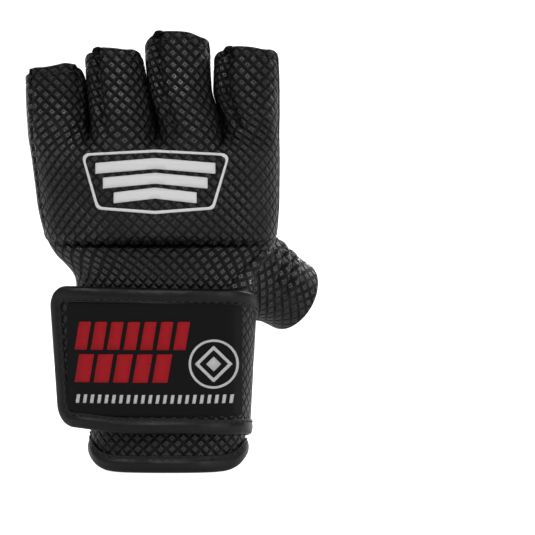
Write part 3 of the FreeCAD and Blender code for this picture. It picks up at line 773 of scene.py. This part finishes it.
def pinch(points, finger):
    """Pulls in the seams that run up a finger. The outermost seams go on down the hand's sides."""
    out = points.copy()
    normals = vertex_normals([lattice(points, np.zeros(points.shape[:2] + (2,)))])[0]
    for column_number, edge in zip(SEAMS[finger], ("little", "index")):
        line = points[:, column_number:column_number + 1]
        gap = np.linalg.norm(points - line, axis=-1)
        lowest = 112 if finger == edge else 155
        deep = edge == "little" and finger != edge
        narrow, depth = (2.3, 3.3) if deep else (1.0, 1.3)
        hollow = depth * np.exp(-(gap / narrow) ** 2) * smooth(lowest, lowest + 10, points[..., 2])
        out -= normals * hollow[..., None]
    return out


columns = {}
for number, finger in enumerate(FINGERS):
    points, flat = column(finger, number)
    points = pinch(pucker(points), finger)
    points[..., 1] += unevenness(points, 0.25)
    columns[finger] = (points, flat)


def turned(flat, scale=1.2, angle=22.0):
    """Flat coordinates for a strip cut from the leather at another angle."""
    a = math.radians(angle)
    u, v = flat[..., 0] * scale, flat[..., 1] * scale
    return np.stack([u * math.cos(a) - v * math.sin(a), u * math.sin(a) + v * math.cos(a)], axis=-1)


def palm_merge(finger, z):
    """How much a finger's palm side follows the palm, and how far out from its leather it lies."""
    if finger == "index":
        return 1 - smooth(146, 172, z), 0.0
    return 1 - smooth(150, 168, z), -2.8


def roll_heights(points, first):
    """Flat heights of the rows of a rolled edge. Past the edge the leather lies flat, unembossed."""
    steps = np.linalg.norm(np.diff(points, axis=0), axis=2)
    run = np.concatenate([np.zeros((1, points.shape[1])), np.cumsum(steps, axis=0)])
    return first + 0.8 + run


# the upper edge of the bar across the fingers' roots, and what it cuts out of the index finger, in x and z
GRIP_EDGE = [(-54.0, 152.0), (27.0, 152.0), (33.0, 153.0), (37.0, 156.5), (39.0, 162.0), (38.3, 168.0),
             (35.0, 173.0), (30.0, 176.5), (25.0, 178.0)]
GRIP_HOLE = GRIP_EDGE[1:] + [(18.0, 179.0), (18.0, 140.5), (37.0, 140.5), (33.0, 150.0)]
SIDE_ROW = 26  # from this row up, a finger's side strips are cut at another angle
EDGE_ROW = 6  # from this row of a rolled edge on, the leather is unembossed


def outside_hole(points):
    """Which faces of a grid are left when the bar's hole is cut out."""
    middle = (points[:-1, :-1] + points[1:, 1:]) / 2
    inside = in_outline(middle.reshape(-1, 3)[:, [0, 2]], np.array(GRIP_HOLE))
    return ~inside.reshape(middle.shape[:2]), middle


finger_grids = {}
for number, finger in enumerate(FINGERS):
    points, flat = columns[finger]
    front_angle = np.linspace(math.pi, 0, points.shape[1])
    roll = rim_roll(finger, front_angle)
    roll_v = roll_heights(roll, flat[-1, :, 1])
    roll_flat = np.stack([np.broadcast_to(flat[-1, :, 0], roll_v.shape), roll_v], axis=-1)
    roll_flat[EDGE_ROW:] = 0.0
    points = np.concatenate([points[low_rows:], roll])
    flat = np.concatenate([flat[low_rows:], roll_flat])
    left, right = SEAMS[finger]
    upper, upper_flat = points[SIDE_ROW:], flat[SIDE_ROW:]
    grids = [
        lattice(points[:SIDE_ROW + 1], flat[:SIDE_ROW + 1]),
        lattice(upper[:, :left + 1], turned(upper_flat[:, :left + 1])),
        lattice(upper[:, left:right + 1], upper_flat[:, left:right + 1]),
        lattice(upper[:, right:], turned(upper_flat[:, right:])),
    ]
    palm_angle = np.linspace(math.pi, 2 * math.pi, ACROSS + 1)
    rim = rim_height(finger, palm_angle)
    ends = [2 * math.pi - border_angle(x) for x in BORDERS[number:number + 2]]
    hull_angle = np.linspace(*ends, ACROSS + 1)
    rows = []
    for f in np.linspace(0, 1, 44):
        z = 139.0 + (rim - 139.0) * f
        merge, behind = palm_merge(finger, z)
        merge = merge[:, None]
        tube = tube_point(finger, palm_angle, z, stitch_groove(rim, z))
        rows.append(tube * (1 - merge) + hull_palm(hull_angle, z, behind) * merge)
    roll = rim_roll(finger, palm_angle)
    points = np.concatenate([np.array(rows), roll])
    points[..., 1] += unevenness(points, 0.3)
    run = np.linalg.norm(np.diff(points, axis=1), axis=2)
    u = np.concatenate([np.zeros((len(run), 1)), np.cumsum(run, axis=1)], axis=1) + 300
    v = np.concatenate([np.array(rows)[..., 2], roll_heights(roll, rim)])
    u[len(rows) + EDGE_ROW:] = 0.0
    v[len(rows) + EDGE_ROW:] = 0.0
    keep = None
    if finger == "index":
        keep = outside_hole(points)[0][:, ::-1]
        keep[:, -2:] = True
    grids.append(lattice(points[:, ::-1], np.stack([u, v], axis=-1)[:, ::-1], keep=keep))
    finger_grids[finger] = grids

low_grids = [lattice(columns[f][0][:low_rows + 1], columns[f][1][:low_rows + 1]) for f in FINGERS]
every = low_grids + [g for f in FINGERS for g in finger_grids[f]]
every_normal = vertex_normals(every)


def surface_tree(grids):
    """What a straight line into the surface would meet first."""
    points, faces, start = [], [], 0
    for g in grids:
        faces.extend((lattice_faces(g) + start).tolist())
        points.extend(g["p"].reshape(-1, 3).tolist())
        start += g["p"].shape[0] * g["p"].shape[1]
    return bvhtree.BVHTree.FromPolygons(points, faces)


def seen_from(tree, side):
    """Points and normals of a surface at places (x, z), seen from one side of the glove."""

    def reach(x, z):
        hit = tree.ray_cast(Vector((x, 90.0 * side, z)), Vector((0, -side, 0)))[0]
        return tuple(hit) if hit else (x, math.nan, z)

    def at(x, z):
        x, z = np.asarray(x, float), np.asarray(z, float)
        out = []
        for dx, dz in ((0, 0), (0.9, 0), (-0.9, 0), (0, 0.9), (0, -0.9)):
            out.append(np.array([reach(a + dx, b + dz) for a, b in zip(x, z)]))
        normal = unit(np.cross(out[1] - out[2], out[3] - out[4]))
        normal *= np.sign(normal[:, 1:2]) * side
        return out[0], normal

    return at


pad_front = seen_from(surface_tree(every), -1)

dorsal = skin("dorsal_skin", low_grids, EMBOSSED, 1.3, every_normal[:4])
attach(dorsal, "hand", "embossed_leather", "dorsal_shell", "knuckle_pad")


def bend(finger):
    """Returns a function that bakes a finger's piece's transform into its mesh."""
    left, right = TUBES[finger](np.array(165.0))[:2]

    def blend(piece):
        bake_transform(piece)

    return blend


def rim_line(finger, angle, drop, lift=0.0):
    """A line round a finger just below its rim, and the surface normals along it."""
    rim = rim_height(finger, angle) - drop
    path = tube_point(finger, angle, rim, -lift)
    ahead = np.gradient(path, axis=0)
    rise = tube_point(finger, angle, rim + 1.0) - tube_point(finger, angle, rim)
    normals = unit(np.cross(rise, ahead))
    outward = path - path.mean(axis=0)
    return path, normals * np.sign((normals * outward).sum(axis=1, keepdims=True))


used = len(low_grids)
for finger in FINGERS:
    grids = finger_grids[finger]
    piece = skin(f"{finger}_stall", grids, EMBOSSED, 1.2, every_normal[used:used + len(grids)])
    used += len(grids)
    nodes = [f"{finger}_finger_{part}" for part in ("sleeve", "pad", "hem")]
    attach(piece, bend(finger), "embossed_leather", *nodes)

    angle = np.linspace(math.pi, -math.pi, 121)
    lines = [rim_line(finger, angle, 2.9, -0.3)]
    thread = stitches(f"{finger}_rim_stitches", lines)
    attach(thread, bend(finger), "smooth_leather")

    angle = np.linspace(math.pi, -math.pi, 73)
    rim = rim_height(finger, angle)
    inset = deeper_back(angle, 2.4, 1.8)
    clear = deeper_back(angle, 0.0, 2.0)  # keeps the knit clear of the deep seams
    rows = []
    for f in np.linspace(0, 1, 20):
        here = inset + 2.5 * (1 - smooth(0, 0.4, f)) + clear * (1 - f ** 6)
        rows.append(tube_point(finger, angle, 161.0 + (rim - 168.5) * f, here))
    rows = np.array(rows)[:, ::-1]
    flat = np.stack([np.broadcast_to(angle * 14, rows.shape[:2]), rows[..., 2]], axis=-1)
    keep = None
    if finger == "index":
        keep, middle = outside_hole(rows)
        keep |= middle[..., 1] < TUBE_Y
    inner = skin(f"{finger}_inside", [lattice(rows, flat, keep=keep)], KNIT, 0.8)
    attach(inner, bend(finger), "knit_lining", f"{finger}_finger_lining")

# ---------------------------------------------------------------- lower back

def low_back(angle, z):
    """The thinly padded lower back. It is sunk in a groove under the ledge."""
    swell = 1.6 * np.exp(-((z - 90) / 7.0) ** 2) * np.sin(angle)
    swell -= (0.8 * smooth(98, 104, z) + 3.6 * smooth(104.2, 105.6, z)) * np.sin(angle)
    points = hull_back(angle, z, HULL(z)[..., 3] + swell)
    points[..., 1] += unevenness(points, 0.25)
    return points


angle = np.linspace(math.pi, 0, 91)
rows = np.array([low_back(angle, np.full(91, z)) for z in np.arange(68, 111, 1.25)])
run = along(rows[24])
flat = np.stack(np.broadcast_arrays(run[None] - run[45], rows[..., 2]), axis=-1)
low_grid = lattice(rows, flat)
lower_back = skin("lower_back", [low_grid], EMBOSSED, 1.3)
attach(lower_back, "hand", "embossed_leather", "lower_back_panel", "lower_back_pad")
low_front = seen_from(surface_tree([low_grid]), -1)

gusset = [(43.5, 102.5), (28.0, 86.0), (28.0, 76.0), (38.5, 76.0), (44.5, 88.0), (49.5, 103.0)]
gusset_piece = flat_shape("thumb_gusset", [gusset], low_front, EMBOSSED, 0.7, 1.2, turn=30.0)
attach(gusset_piece, "hand", "embossed_leather")

# ---------------------------------------------------------------- palm

PALM_SCALE = 46.0  # millimetres of palm to one radian of its section
BAR_Z = 152.0  # the upper edge of the palm's leather


def palm_point(u, z):
    points = hull_palm(math.pi + np.asarray(u, float) / PALM_SCALE, np.asarray(z, float))
    points[..., 1] += unevenness(points, 0.3)
    return points


def palm_surface(u, z):
    return with_normals(palm_point, np.asarray(u, float), np.asarray(z, float))


def palm_u(x, z):
    """The flat coordinate of a place on the palm."""
    rows = HULL(np.asarray(z, float))
    share = np.clip((np.asarray(x, float) - rows[..., 0]) / rows[..., 1], -1, 1)
    return (math.pi - np.arccos(power(share, ROUND / 2))) * PALM_SCALE


def on_palm(loop):
    """A loop in x and z as flat coordinates of the palm."""
    loop = np.asarray(loop, float)
    return np.stack([palm_u(loop[:, 0], loop[:, 1]), loop[:, 1]], axis=-1)


def softened(loop, rounds):
    """The loop with its corners eased."""
    loop = np.array(loop, float)
    for _ in range(rounds):
        loop = (np.roll(loop, 1, axis=0) + 2 * loop + np.roll(loop, -1, axis=0)) / 4
    return loop


OPENING = softened(outline([(-37, 128, 7), (-38, 112, 8), (-9, 88, 10), (10, 113, 10), (11, 130, 8)]), 24)
half_turn = math.pi * PALM_SCALE
panel = [(0.3, 69.0), (half_turn - 0.3, 69.0), (half_turn - 0.3, 141.0), (palm_u(37.0, 141.0), 141.0),
         (palm_u(33.0, 150.0), 150.0), (palm_u(27.0, BAR_Z), BAR_Z), (0.3, BAR_Z)]
panel = resample(panel, 1.5, closed=True)
opening = on_palm(OPENING)
slit = on_palm(outline([(-31.5, 78.0, 4.0), (-31.5, 74.5, 4.0)]))
palm = flat_shape("palm_leather", [panel, opening, slit], palm_surface, EMBOSSED, 0.0, 1.3, step=2.2)
attach(palm, "hand", "embossed_leather", "palm_panel")

edge = resample(opening, 1.2, closed=True)
path, normals = palm_surface(edge[:, 0], edge[:, 1])
rim_tape = tape("opening_binding", path, normals, width=6.2, layer=3.4, proud=0.9, closed=True)
attach(rim_tape, "hand", "smooth_leather", "palm_opening_binding")
line = inset_line(path, normals, 4.9, 0.85, closed=True)
thread = stitches("opening_stitches", [(line, np.vstack([normals, normals[:1]]))])
attach(thread, "hand", "smooth_leather")

# the bar's tape lies on the palm, and past the palm's end on the index finger with no hole cut in it
whole_index = finger_grids["index"][-1]
across = np.arange(1, half_turn, 2.0)
palm_rows = np.array([palm_surface(across, np.full(len(across), z))[0] for z in np.arange(70.0, 156.0, 2.0)])
palm_grids = [lattice(whole_index["p"], whole_index["uv"]), lattice(palm_rows, palm_rows[..., :2])]
palm_front = seen_from(surface_tree(palm_grids), 1)
edge = resample(GRIP_EDGE, 1.2)
# on the palm it is sought a little lower, where the leather is
sought = np.minimum(edge[:, 1], BAR_Z - 1.0 + 100 * smooth(20, 24, edge[:, 0]))
path, normals = palm_front(edge[:, 0], sought)
path[:, 2] = edge[:, 1]
for _ in range(6):
    path[1:-1] = (path[:-2] + 2 * path[1:-1] + path[2:]) / 4
    normals[1:-1] = unit(normals[:-2] + 2 * normals[1:-1] + normals[2:])
bar_tape = tape("grip_bar_tape", path, normals, width=6.6, layer=2.4, proud=1.0)
attach(bar_tape, bend("index"), "smooth_leather", "grip_bar_binding")
thread = stitches("grip_bar_stitches", [(inset_line(path, normals, 5.4, 0.6), normals)])
attach(thread, bend("index"), "smooth_leather")

hoop = [(-36.3, 68.5), (-36.3, 78.0), (-34.9, 81.4), (-31.5, 82.8),
        (-28.1, 81.4), (-26.7, 78.0), (-26.7, 68.5)]
hoop = on_palm(resample(hoop, 1.0))
path, normals = palm_surface(hoop[:, 0], hoop[:, 1])
slit_tape = tape("slit_binding", path, normals, width=3.6, layer=2.6, proud=0.9, flip=True)
attach(slit_tape, "hand", "smooth_leather", "wrist_slit_binding")

# the lining: the back half behind the foam, the palm half behind the leather, with the same opening
inner_panel = [(0.3, 4.0), (half_turn - 0.3, 4.0), (half_turn - 0.3, 139.0), (0.3, 139.0)]
inner_panel = resample(inner_panel, 2.5, closed=True)


def lining_half(name, back, loops, *nodes):
    """Half of the lining: the wrist's tube low down, and behind the hand's leather or foam higher up."""

    def point(u, z):
        share = smooth(66, 80, z)[..., None]
        cuff = cuff_point(math.pi + (-u if back else u) / PALM_SCALE, z, -2.6)
        if back:
            hand = hull_back(math.pi - u / PALM_SCALE, z, HULL(z)[..., 3] - 6.0)
            centre, half = HULL(z)[..., 0], HULL(z)[..., 1]
            hand[..., 0] = centre + (hand[..., 0] - centre) * (1 - 3.0 / half)
        else:
            hand = hull_palm(math.pi + u / PALM_SCALE, z, -3.0)
        return cuff * (1 - share) + hand * share

    def at(u, z):
        points, normals = with_normals(point, u, z)
        return points, -normals if back else normals

    piece = flat_shape(name, loops, at, KNIT, 0.0, 0.8, step=3.0)
    attach(piece, "hand", "knit_lining", *nodes)


lining_half("lining_back", True, [inner_panel], "hand_lining", "cuff_lining")
lining_half("lining_palm", False, [inner_panel, opening, slit])

# ---------------------------------------------------------------- cuff

angle = np.linspace(math.pi, -math.pi, 145)
rise = cuff_rise(angle)
rows = []
for f in np.linspace(0, 1, 44):
    rows.append(cuff_point(angle, rise + 1.0 + (79.0 - rise) * f))
rows = np.array(rows)
rows[..., 1] += unevenness(rows, 0.35)
run = along(rows[20])
flat = np.stack(np.broadcast_arrays(run[None], rows[..., 2] + 0 * run[None]), axis=-1)
cuff = skin("cuff_leather", [lattice(rows, flat)], EMBOSSED, 1.3)
attach(cuff, "hand", "embossed_leather", "cuff_shell")

path = rows[0][:-1]
outward = unit(np.stack([path[:, 0] / 36.0**2, path[:, 1] / 25.0**2, 0 * path[:, 0]], axis=-1))
hem = tape("cuff_hem_tape", path, outward, width=7.0, layer=2.8, proud=1.2, closed=True)
attach(hem, "hand", "smooth_leather", "cuff_hem_binding")
line = inset_line(path, outward, 5.6, 1.0, closed=True)
thread = stitches("hem_stitches", [(line, np.vstack([outward, outward[:1]]))])
attach(thread, "hand", "smooth_leather")

# ---------------------------------------------------------------- strap

# the strap seen from above, in x and y, from the flap's free end round the thumb side and over the palm side
STRAP_PLAN = [
    (-54.5, -12.5), (-45, -20.3), (-33, -26), (-20, -29.6), (-6, -30.8), (8, -30.2), (20, -27.8),
    (30, -23.5), (36.8, -17.5), (40.6, -10), (41.9, -1.5), (40.3, 8), (34.0, 17.6), (24.0, 23.6),
    (12.0, 27.2), (0, 28.4), (-13, 27.2), (-25, 23.0), (-34, 15.5), (-38.6, 6), (-39.6, -2),
]
STRAP_TALL = 64.0
STRAP_CORNER = 9.0
SEWN_FROM = 10.0  # the point of the plan where the free flap ends and the sewn part begins
plan_places = np.linspace(0, len(STRAP_PLAN) - 1, 1601)
fine = spline([(k, x, y) for k, (x, y) in enumerate(STRAP_PLAN)])(plan_places)
fine_run = along(fine)
STRAP_LENGTH = fine_run[-1]
turn_s = np.interp(SEWN_FROM, plan_places, fine_run)


def strap_plan(s):
    return np.stack([np.interp(s, fine_run, fine[:, 0]), np.interp(s, fine_run, fine[:, 1])], axis=-1)


def strap_point(s, v):
    """s runs from the flap's free end; v is 0 at the bottom edge and 1 at the top edge."""
    s, v = np.asarray(s, float), np.asarray(v, float)
    p = strap_plan(s)
    top = 85.5 - 1.6 * smooth(0, 100, s) - 16.5 * smooth(88, 175, s)
    low = 22.0 - 2.6 * smooth(0, 45, s) - 1.0 * smooth(60, 95, s) - 6.5 * smooth(100, 175, s)
    z = low + (top - low) * v
    scale = 0.918 + 0.082 * (z - 20) / 64
    y = p[..., 1] + 0.5 * np.sin(z * 0.2 + s * 0.05) * smooth(8, 30, s)
    return np.stack([-0.3 + (p[..., 0] + 0.3) * scale, y, z], axis=-1)


def strap_flat(s, t):
    """The strap's outer face and normals at flat coordinates in millimetres."""
    s, v = np.asarray(s, float), np.asarray(t, float) / STRAP_TALL
    ds = strap_point(s + 0.4, v) - strap_point(s - 0.4, v)
    dv = strap_point(s, v + 0.01) - strap_point(s, v - 0.01)
    return strap_point(s, v), unit(np.cross(ds, dv))


def round_end(count):
    """The flap's two round corners in flat coordinates, from the top edge to the bottom edge."""
    points = []
    for first, height in ((90, STRAP_TALL - STRAP_CORNER), (180, STRAP_CORNER)):
        for a in np.radians(np.linspace(first, first + 90, count)):
            points.append((STRAP_CORNER + STRAP_CORNER * math.cos(a), height + STRAP_CORNER * math.sin(a)))
    return points


def flap_bend(piece):
    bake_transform(piece)


flap_top, flap_bottom = (turn_s, STRAP_TALL), (turn_s, 0.0)
end_top, end_bottom = (STRAP_LENGTH, STRAP_TALL), (STRAP_LENGTH, 0.0)
flap_outline = resample([flap_bottom, flap_top] + round_end(8), 1.5, closed=True)
flap = flat_shape("strap_flap_leather", [flap_outline], strap_flat, EMBOSSED, 0.0, 3.0, step=2.5)
attach(flap, flap_bend, "embossed_leather", "strap_flap")
wrap_outline = [flap_bottom, end_bottom, end_top, flap_top]
wrap = flat_shape("strap_wrap_leather", [wrap_outline], strap_flat, EMBOSSED, 0.0, 2.6, step=2.5)
attach(wrap, "hand", "embossed_leather", "strap_wrap")


def strap_edge(name, points, holder, node):
    """The folded tape along an edge of the strap, and its stitches."""
    line = resample(points, 1.2)
    path, normals = strap_flat(line[:, 0], line[:, 1])
    piece = tape(f"{name}_tape", path, normals, width=6.3, layer=2.8, proud=0.8)
    thread = stitches(f"{name}_stitches", [(inset_line(path, normals, 5.1, 0.75), normals)])
    attach(piece, holder, "smooth_leather", node)
    attach(thread, holder, "smooth_leather")


strap_edge("flap_edge", [flap_top] + round_end(10) + [flap_bottom], flap_bend, "strap_flap_binding")
strap_edge("wrap_top", [end_top, flap_top], "hand", "strap_wrap_top_binding")
strap_edge("wrap_bottom", [flap_bottom, end_bottom], "hand", "strap_wrap_bottom_binding")

# ---------------------------------------------------------------- fastener

def flap_inside(s, t):
    points, normals = strap_flat(s, t)
    return points - normals * 3.0, -normals


patch = [(13.0, 10.0), (50.0, 10.0), (50.0, 54.0), (13.0, 54.0)]
hook = flat_shape("hook_tape", [patch], flap_inside, HOOK, 0.7, 1.2, step=2.0)
attach(hook, flap_bend, "hook_tape", "hook_patch")


def cuff_front(u, z):
    """The back of the cuff and its normals at flat coordinates."""
    angle = math.pi / 2 - np.asarray(u, float) / 31.0
    z = np.asarray(z, float)
    points = cuff_point(angle, z, 0.4)
    rise = points - cuff_point(angle, z - 0.4, 0.4)
    turn = cuff_point(angle - 0.01, z, 0.4) - points
    normal = unit(np.cross(rise, turn))
    normal *= np.where(normal[:, 1:2] > 0, -1, 1)
    return points, normal


patch = [(-26.0, 30.0), (18.0, 30.0), (18.0, 68.0), (-26.0, 68.0)]
pile = flat_shape("loop_tape", [patch], cuff_front, LOOP, 0.6, 1.4, step=2.0)
attach(pile, "hand", "loop_pile", "loop_patch")

# ---------------------------------------------------------------- label

flap_rows = np.array([[strap_point(s, v) for s in np.arange(0, turn_s, 1.5)] for v in np.linspace(0, 1, 33)])
strap_front = seen_from(surface_tree([lattice(flap_rows, flap_rows[..., :2])]), -1)
MARK = (21.5, 50.5)  # the middle of the label's round mark


def label_part(name, loops, material, *nodes, lift=0.6, depth=0.5):
    piece = flat_shape(name, loops, strap_front, material, lift, depth, step=3.0)
    attach(piece, flap_bend, "woven_label", *nodes)


cloth = outline([(-45.5, 27.2, 0.8), (33.6, 27.2, 0.8), (33.6, 78.2, 0.8), (-45.5, 78.2, 0.8)])
label_part("label_cloth", [cloth], LABEL_BLACK, "label_patch", lift=0.45, depth=0.9)


def slanted(x0, z0, wide, tall, slant):
    """A bar whose sides lean to the right."""
    return [(x0, z0), (x0 + wide, z0), (x0 + wide + slant, z0 + tall), (x0 + slant, z0 + tall)]


for k in range(7):
    label_part(f"label_bar_{k}", [slanted(-42.5 + 7.6 * k, 57.0, 5.6, 13.0, 2.2)], LABEL_RED, lift=0.62)
for k in range(5):
    label_part(f"label_block_{k}", [slanted(-42.5 + 9.0 * k, 42.0, 7.0, 13.0, 2.2)], LABEL_RED, lift=0.62)


def rings(sides, *radii):
    """Polygons round the mark's middle."""
    turns = np.linspace(0, 2 * math.pi, sides, endpoint=False)
    return [[(MARK[0] + r * math.cos(a), MARK[1] + r * math.sin(a)) for a in turns] for r in radii]


label_part("label_ring", rings(40, 11.4, 10.3), LABEL_WHITE)
label_part("label_diamond", rings(4, 8.6, 6.6), LABEL_WHITE)
label_part("label_dot", rings(4, 3.4), LABEL_WHITE)
for k in range(22):
    label_part(f"label_tick_{k}", [slanted(-42.0 + 3.36 * k, 32.4, 1.5, 4.0, 0.6)], LABEL_WHITE)

# ---------------------------------------------------------------- knuckle badge

def badge_part(name, loops, *nodes):
    piece = flat_shape(name, loops, pad_front, PRINT, 0.22, 0.5, step=1.8)
    attach(piece, "hand", "white_print", *nodes)


def chevron(x, z, half, tall, thick):
    """A bar bent upward in the middle."""
    return [(x - half, z), (x - half, z + thick), (x, z + tall + thick), (x + half, z + thick), (x + half, z),
            (x, z + tall)]


shield = outline([(-36, 145, 2.5), (-30, 124, 2.5), (-5, 121.5, 2),
                  (20, 124, 2.5), (26, 145, 2.5), (-5, 147, 2)])
middle = shield.mean(axis=0)
inner = middle + (shield - middle) * np.array([0.962, 0.91])
badge_part("badge_border", [shield, inner], "knuckle_print")
for k, (z, half) in enumerate([(124.4, 19.0), (131.2, 24.0), (138.0, 27.5)]):
    badge_part(f"badge_chevron_{k}", [chevron(-5.0, z, half, 2.2, 5.0)])

# ---------------------------------------------------------------- thumb

DIP, YAW = math.radians(24.6), math.radians(41.0)  # the thumb points this far down and towards the palm
THUMB_WAY = np.array([math.cos(DIP) * math.cos(YAW), math.cos(DIP) * math.sin(YAW), -math.sin(DIP)])
THUMB_TALL = np.array([math.sin(DIP) * math.cos(YAW), math.sin(DIP) * math.sin(YAW), math.cos(DIP)])
THUMB_WIDE = np.array([-math.sin(YAW), math.cos(YAW), 0.0])
THUMB_ROOT = np.array([38.0, 14.0, 93.5])
THUMB_END = 29.0
ROUND_THUMB = 97  # points round the sleeve
# place along the thumb: half height, half width
thumb_sizes = spline([(-18, 23.5, 15.5), (-8, 21.5, 15.6), (8, 19.2, 15.2),
                      (20, 17.0, 15.3), (30, 16.2, 15.6)])


def thumb_point(place, angle, inset=0.0):
    """The thumb's sleeve, at a distance along it from its root and an angle round it."""
    place = np.broadcast_to(np.asarray(place, float), angle.shape)
    sizes = thumb_sizes(place)
    tall = (sizes[..., 0] - inset) * np.sin(angle)
    wide = (sizes[..., 1] - inset) * np.cos(angle)
    centre = THUMB_ROOT + place[..., None] * THUMB_WAY
    return centre + tall[..., None] * THUMB_TALL + wide[..., None] * THUMB_WIDE


def thumb_bend(piece):
    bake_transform(piece)


angle = np.linspace(0, -2 * math.pi, ROUND_THUMB)
rows = []
for place in np.linspace(-18, THUMB_END, 40):
    wave = 0.45 * math.sin(place * 0.9) * smooth(-2, 4, place) * (1 - smooth(14, 22, place))
    rows.append(thumb_point(place, angle, -wave * (1 + np.cos(angle * 2 + 1.0))))
for a in np.radians(np.linspace(30, 180, 6)):
    rows.append(thumb_point(THUMB_END + math.sin(a), angle, 1 - math.cos(a)))
for place in (26.0, 22.0, 18.0):
    rows.append(thumb_point(place, angle, 2.0))
rows = np.array(rows)
flat = np.array(np.stack(np.broadcast_arrays(angle[None] * 17.0, along(rows[:, 0])[:, None]), axis=-1))
flat[45:] = 0.0  # inside, the leather is unembossed
sleeve = skin("thumb_stall", [lattice(rows, flat)], EMBOSSED, 1.1)
attach(sleeve, thumb_bend, "embossed_leather", "thumb_sleeve", "thumb_hem")
outward = unit(np.cos(angle)[:, None] * THUMB_WIDE + np.sin(angle)[:, None] * THUMB_TALL)
thread = stitches("thumb_stitches", [(thumb_point(26.2, angle), outward)])
attach(thread, thumb_bend, "smooth_leather")


def over_palm(points):
    """How far points stand outside the palm's surface; 1 is on it."""
    rows = HULL(points[..., 2])
    x = np.abs(points[..., 0] - rows[..., 0]) / rows[..., 1]
    y = np.abs(points[..., 1] - SIDE_Y) / rows[..., 2]
    return x**ROUND + y**ROUND


# where the sleeve comes out of the palm's surface, by halving
low_place, high_place = np.full(ROUND_THUMB, -17.0), np.full(ROUND_THUMB, 22.0)
for _ in range(24):
    half_way = (low_place + high_place) / 2
    within = over_palm(thumb_point(half_way, angle)) < 1.0
    low_place = np.where(within, half_way, low_place)
    high_place = np.where(within, high_place, half_way)
base = softened(thumb_point(half_way + 0.6, angle, -0.3)[:-1], 8)
welt = tape("thumb_welt", base, outward[:-1], width=2.2, layer=0.6, proud=0.5, closed=True, fold=0.7)
attach(welt, "hand", "smooth_leather")
places = np.linspace(-14, 22, 16)
rows = np.array([thumb_point(place, angle, 2.2) for place in places])
flat = np.stack(np.broadcast_arrays(angle[None] * 15.0, places[:, None] + 14), axis=-1)
inside = skin("thumb_inside", [lattice(rows, flat)], KNIT, 0.8)
attach(inside, thumb_bend, "knit_lining", "thumb_lining")

# ---------------------------------------------------------------- stage

def stage_material(name, glow, from_y, to_y, grazing=False):
    """Pale and matt, with a glow that rises from one place to another, or only at a grazing angle."""
    n = Nodes(name)
    y = n.node("ShaderNodeSeparateXYZ", {0: n.object_space()}).outputs[1]
    rise = n.node("ShaderNodeMapRange", {0: y, 1: from_y, 2: to_y, 3: 0.0, 4: glow}).outputs[0]
    n.set(color=(0.5, 0.5, 0.5, 1), roughness=0.9, specular=0.1)
    n.shader.inputs["Emission Color"].default_value = (1, 1, 1, 1)
    if grazing:
        facing = n.node("ShaderNodeLayerWeight", {0: 0.5}).outputs["Facing"]
        rise = n.math("MULTIPLY", rise, n.ramp(facing, [(0.78, 0.3), (0.9, 1.0)]))
    n.put(n.shader.inputs["Emission Strength"], rise)
    return n.material


def stage_sheet(name, corners, material):
    make_mesh(name, corners, [(0, 1, 2, 3)], material)


def area_light(name, place, target, size, watts):
    data = bpy.data.lights.new(name, "AREA")
    data.shape = "RECTANGLE"
    data.size, data.size_y = size
    data.energy = watts
    thing = bpy.data.objects.new(name, data)
    thing.location = place
    thing.rotation_mode = "QUATERNION"
    thing.rotation_quaternion = (Vector(target) - Vector(place)).to_track_quat("-Z", "Y")
    bpy.context.scene.collection.objects.link(thing)


FAR = 5000.0
stage_sheet("floor", [(-FAR, -FAR, -0.3), (FAR, -FAR, -0.3), (FAR, FAR, -0.3), (-FAR, FAR, -0.3)],
            stage_material("pale_floor", 1.0, -0.7, -0.4, True))
stage_sheet("wall", [(-FAR, 4000, -1), (FAR, 4000, -1), (FAR, 4000, 5000), (-FAR, 4000, 5000)],
            stage_material("pale_wall", 1.1, 3.0, 3.5))
area_light("front", (0.05, -1.6, 1.2), (0.0, 0.0, 0.12), (0.55, 0.45), 10)
area_light("left", (-1.1, -0.7, 1.0), (0.0, 0.0, 0.12), (0.6, 0.6), 6)
area_light("right", (1.1, -0.9, 0.5), (0.0, 0.0, 0.1), (0.4, 0.8), 5)
area_light("palm_side", (0.2, 1.9, 0.5), (0.0, 0.0, 0.1), (0.55, 0.45), 9)
area_light("palm_left", (1.0, 0.8, 1.0), (0.0, 0.0, 0.1), (0.6, 0.6), 6)
bpy.context.scene.view_settings.view_transform = "Standard"
world = bpy.data.worlds.new("studio")
world.use_nodes = True
world.node_tree.nodes["Background"].inputs[0].default_value = (1, 1, 1, 1)
world.node_tree.nodes["Background"].inputs[1].default_value = 0.15
bpy.context.scene.world = world

camera_data = bpy.data.cameras.new("camera")
camera_data.sensor_width = 36.0
camera_data.lens = 215.0
camera = bpy.data.objects.new("camera", camera_data)
camera.location = (0.0465, -1.50, 0.095)
camera.rotation_euler = (math.pi / 2, 0, 0)
bpy.context.scene.collection.objects.link(camera)
bpy.context.scene.camera = camera
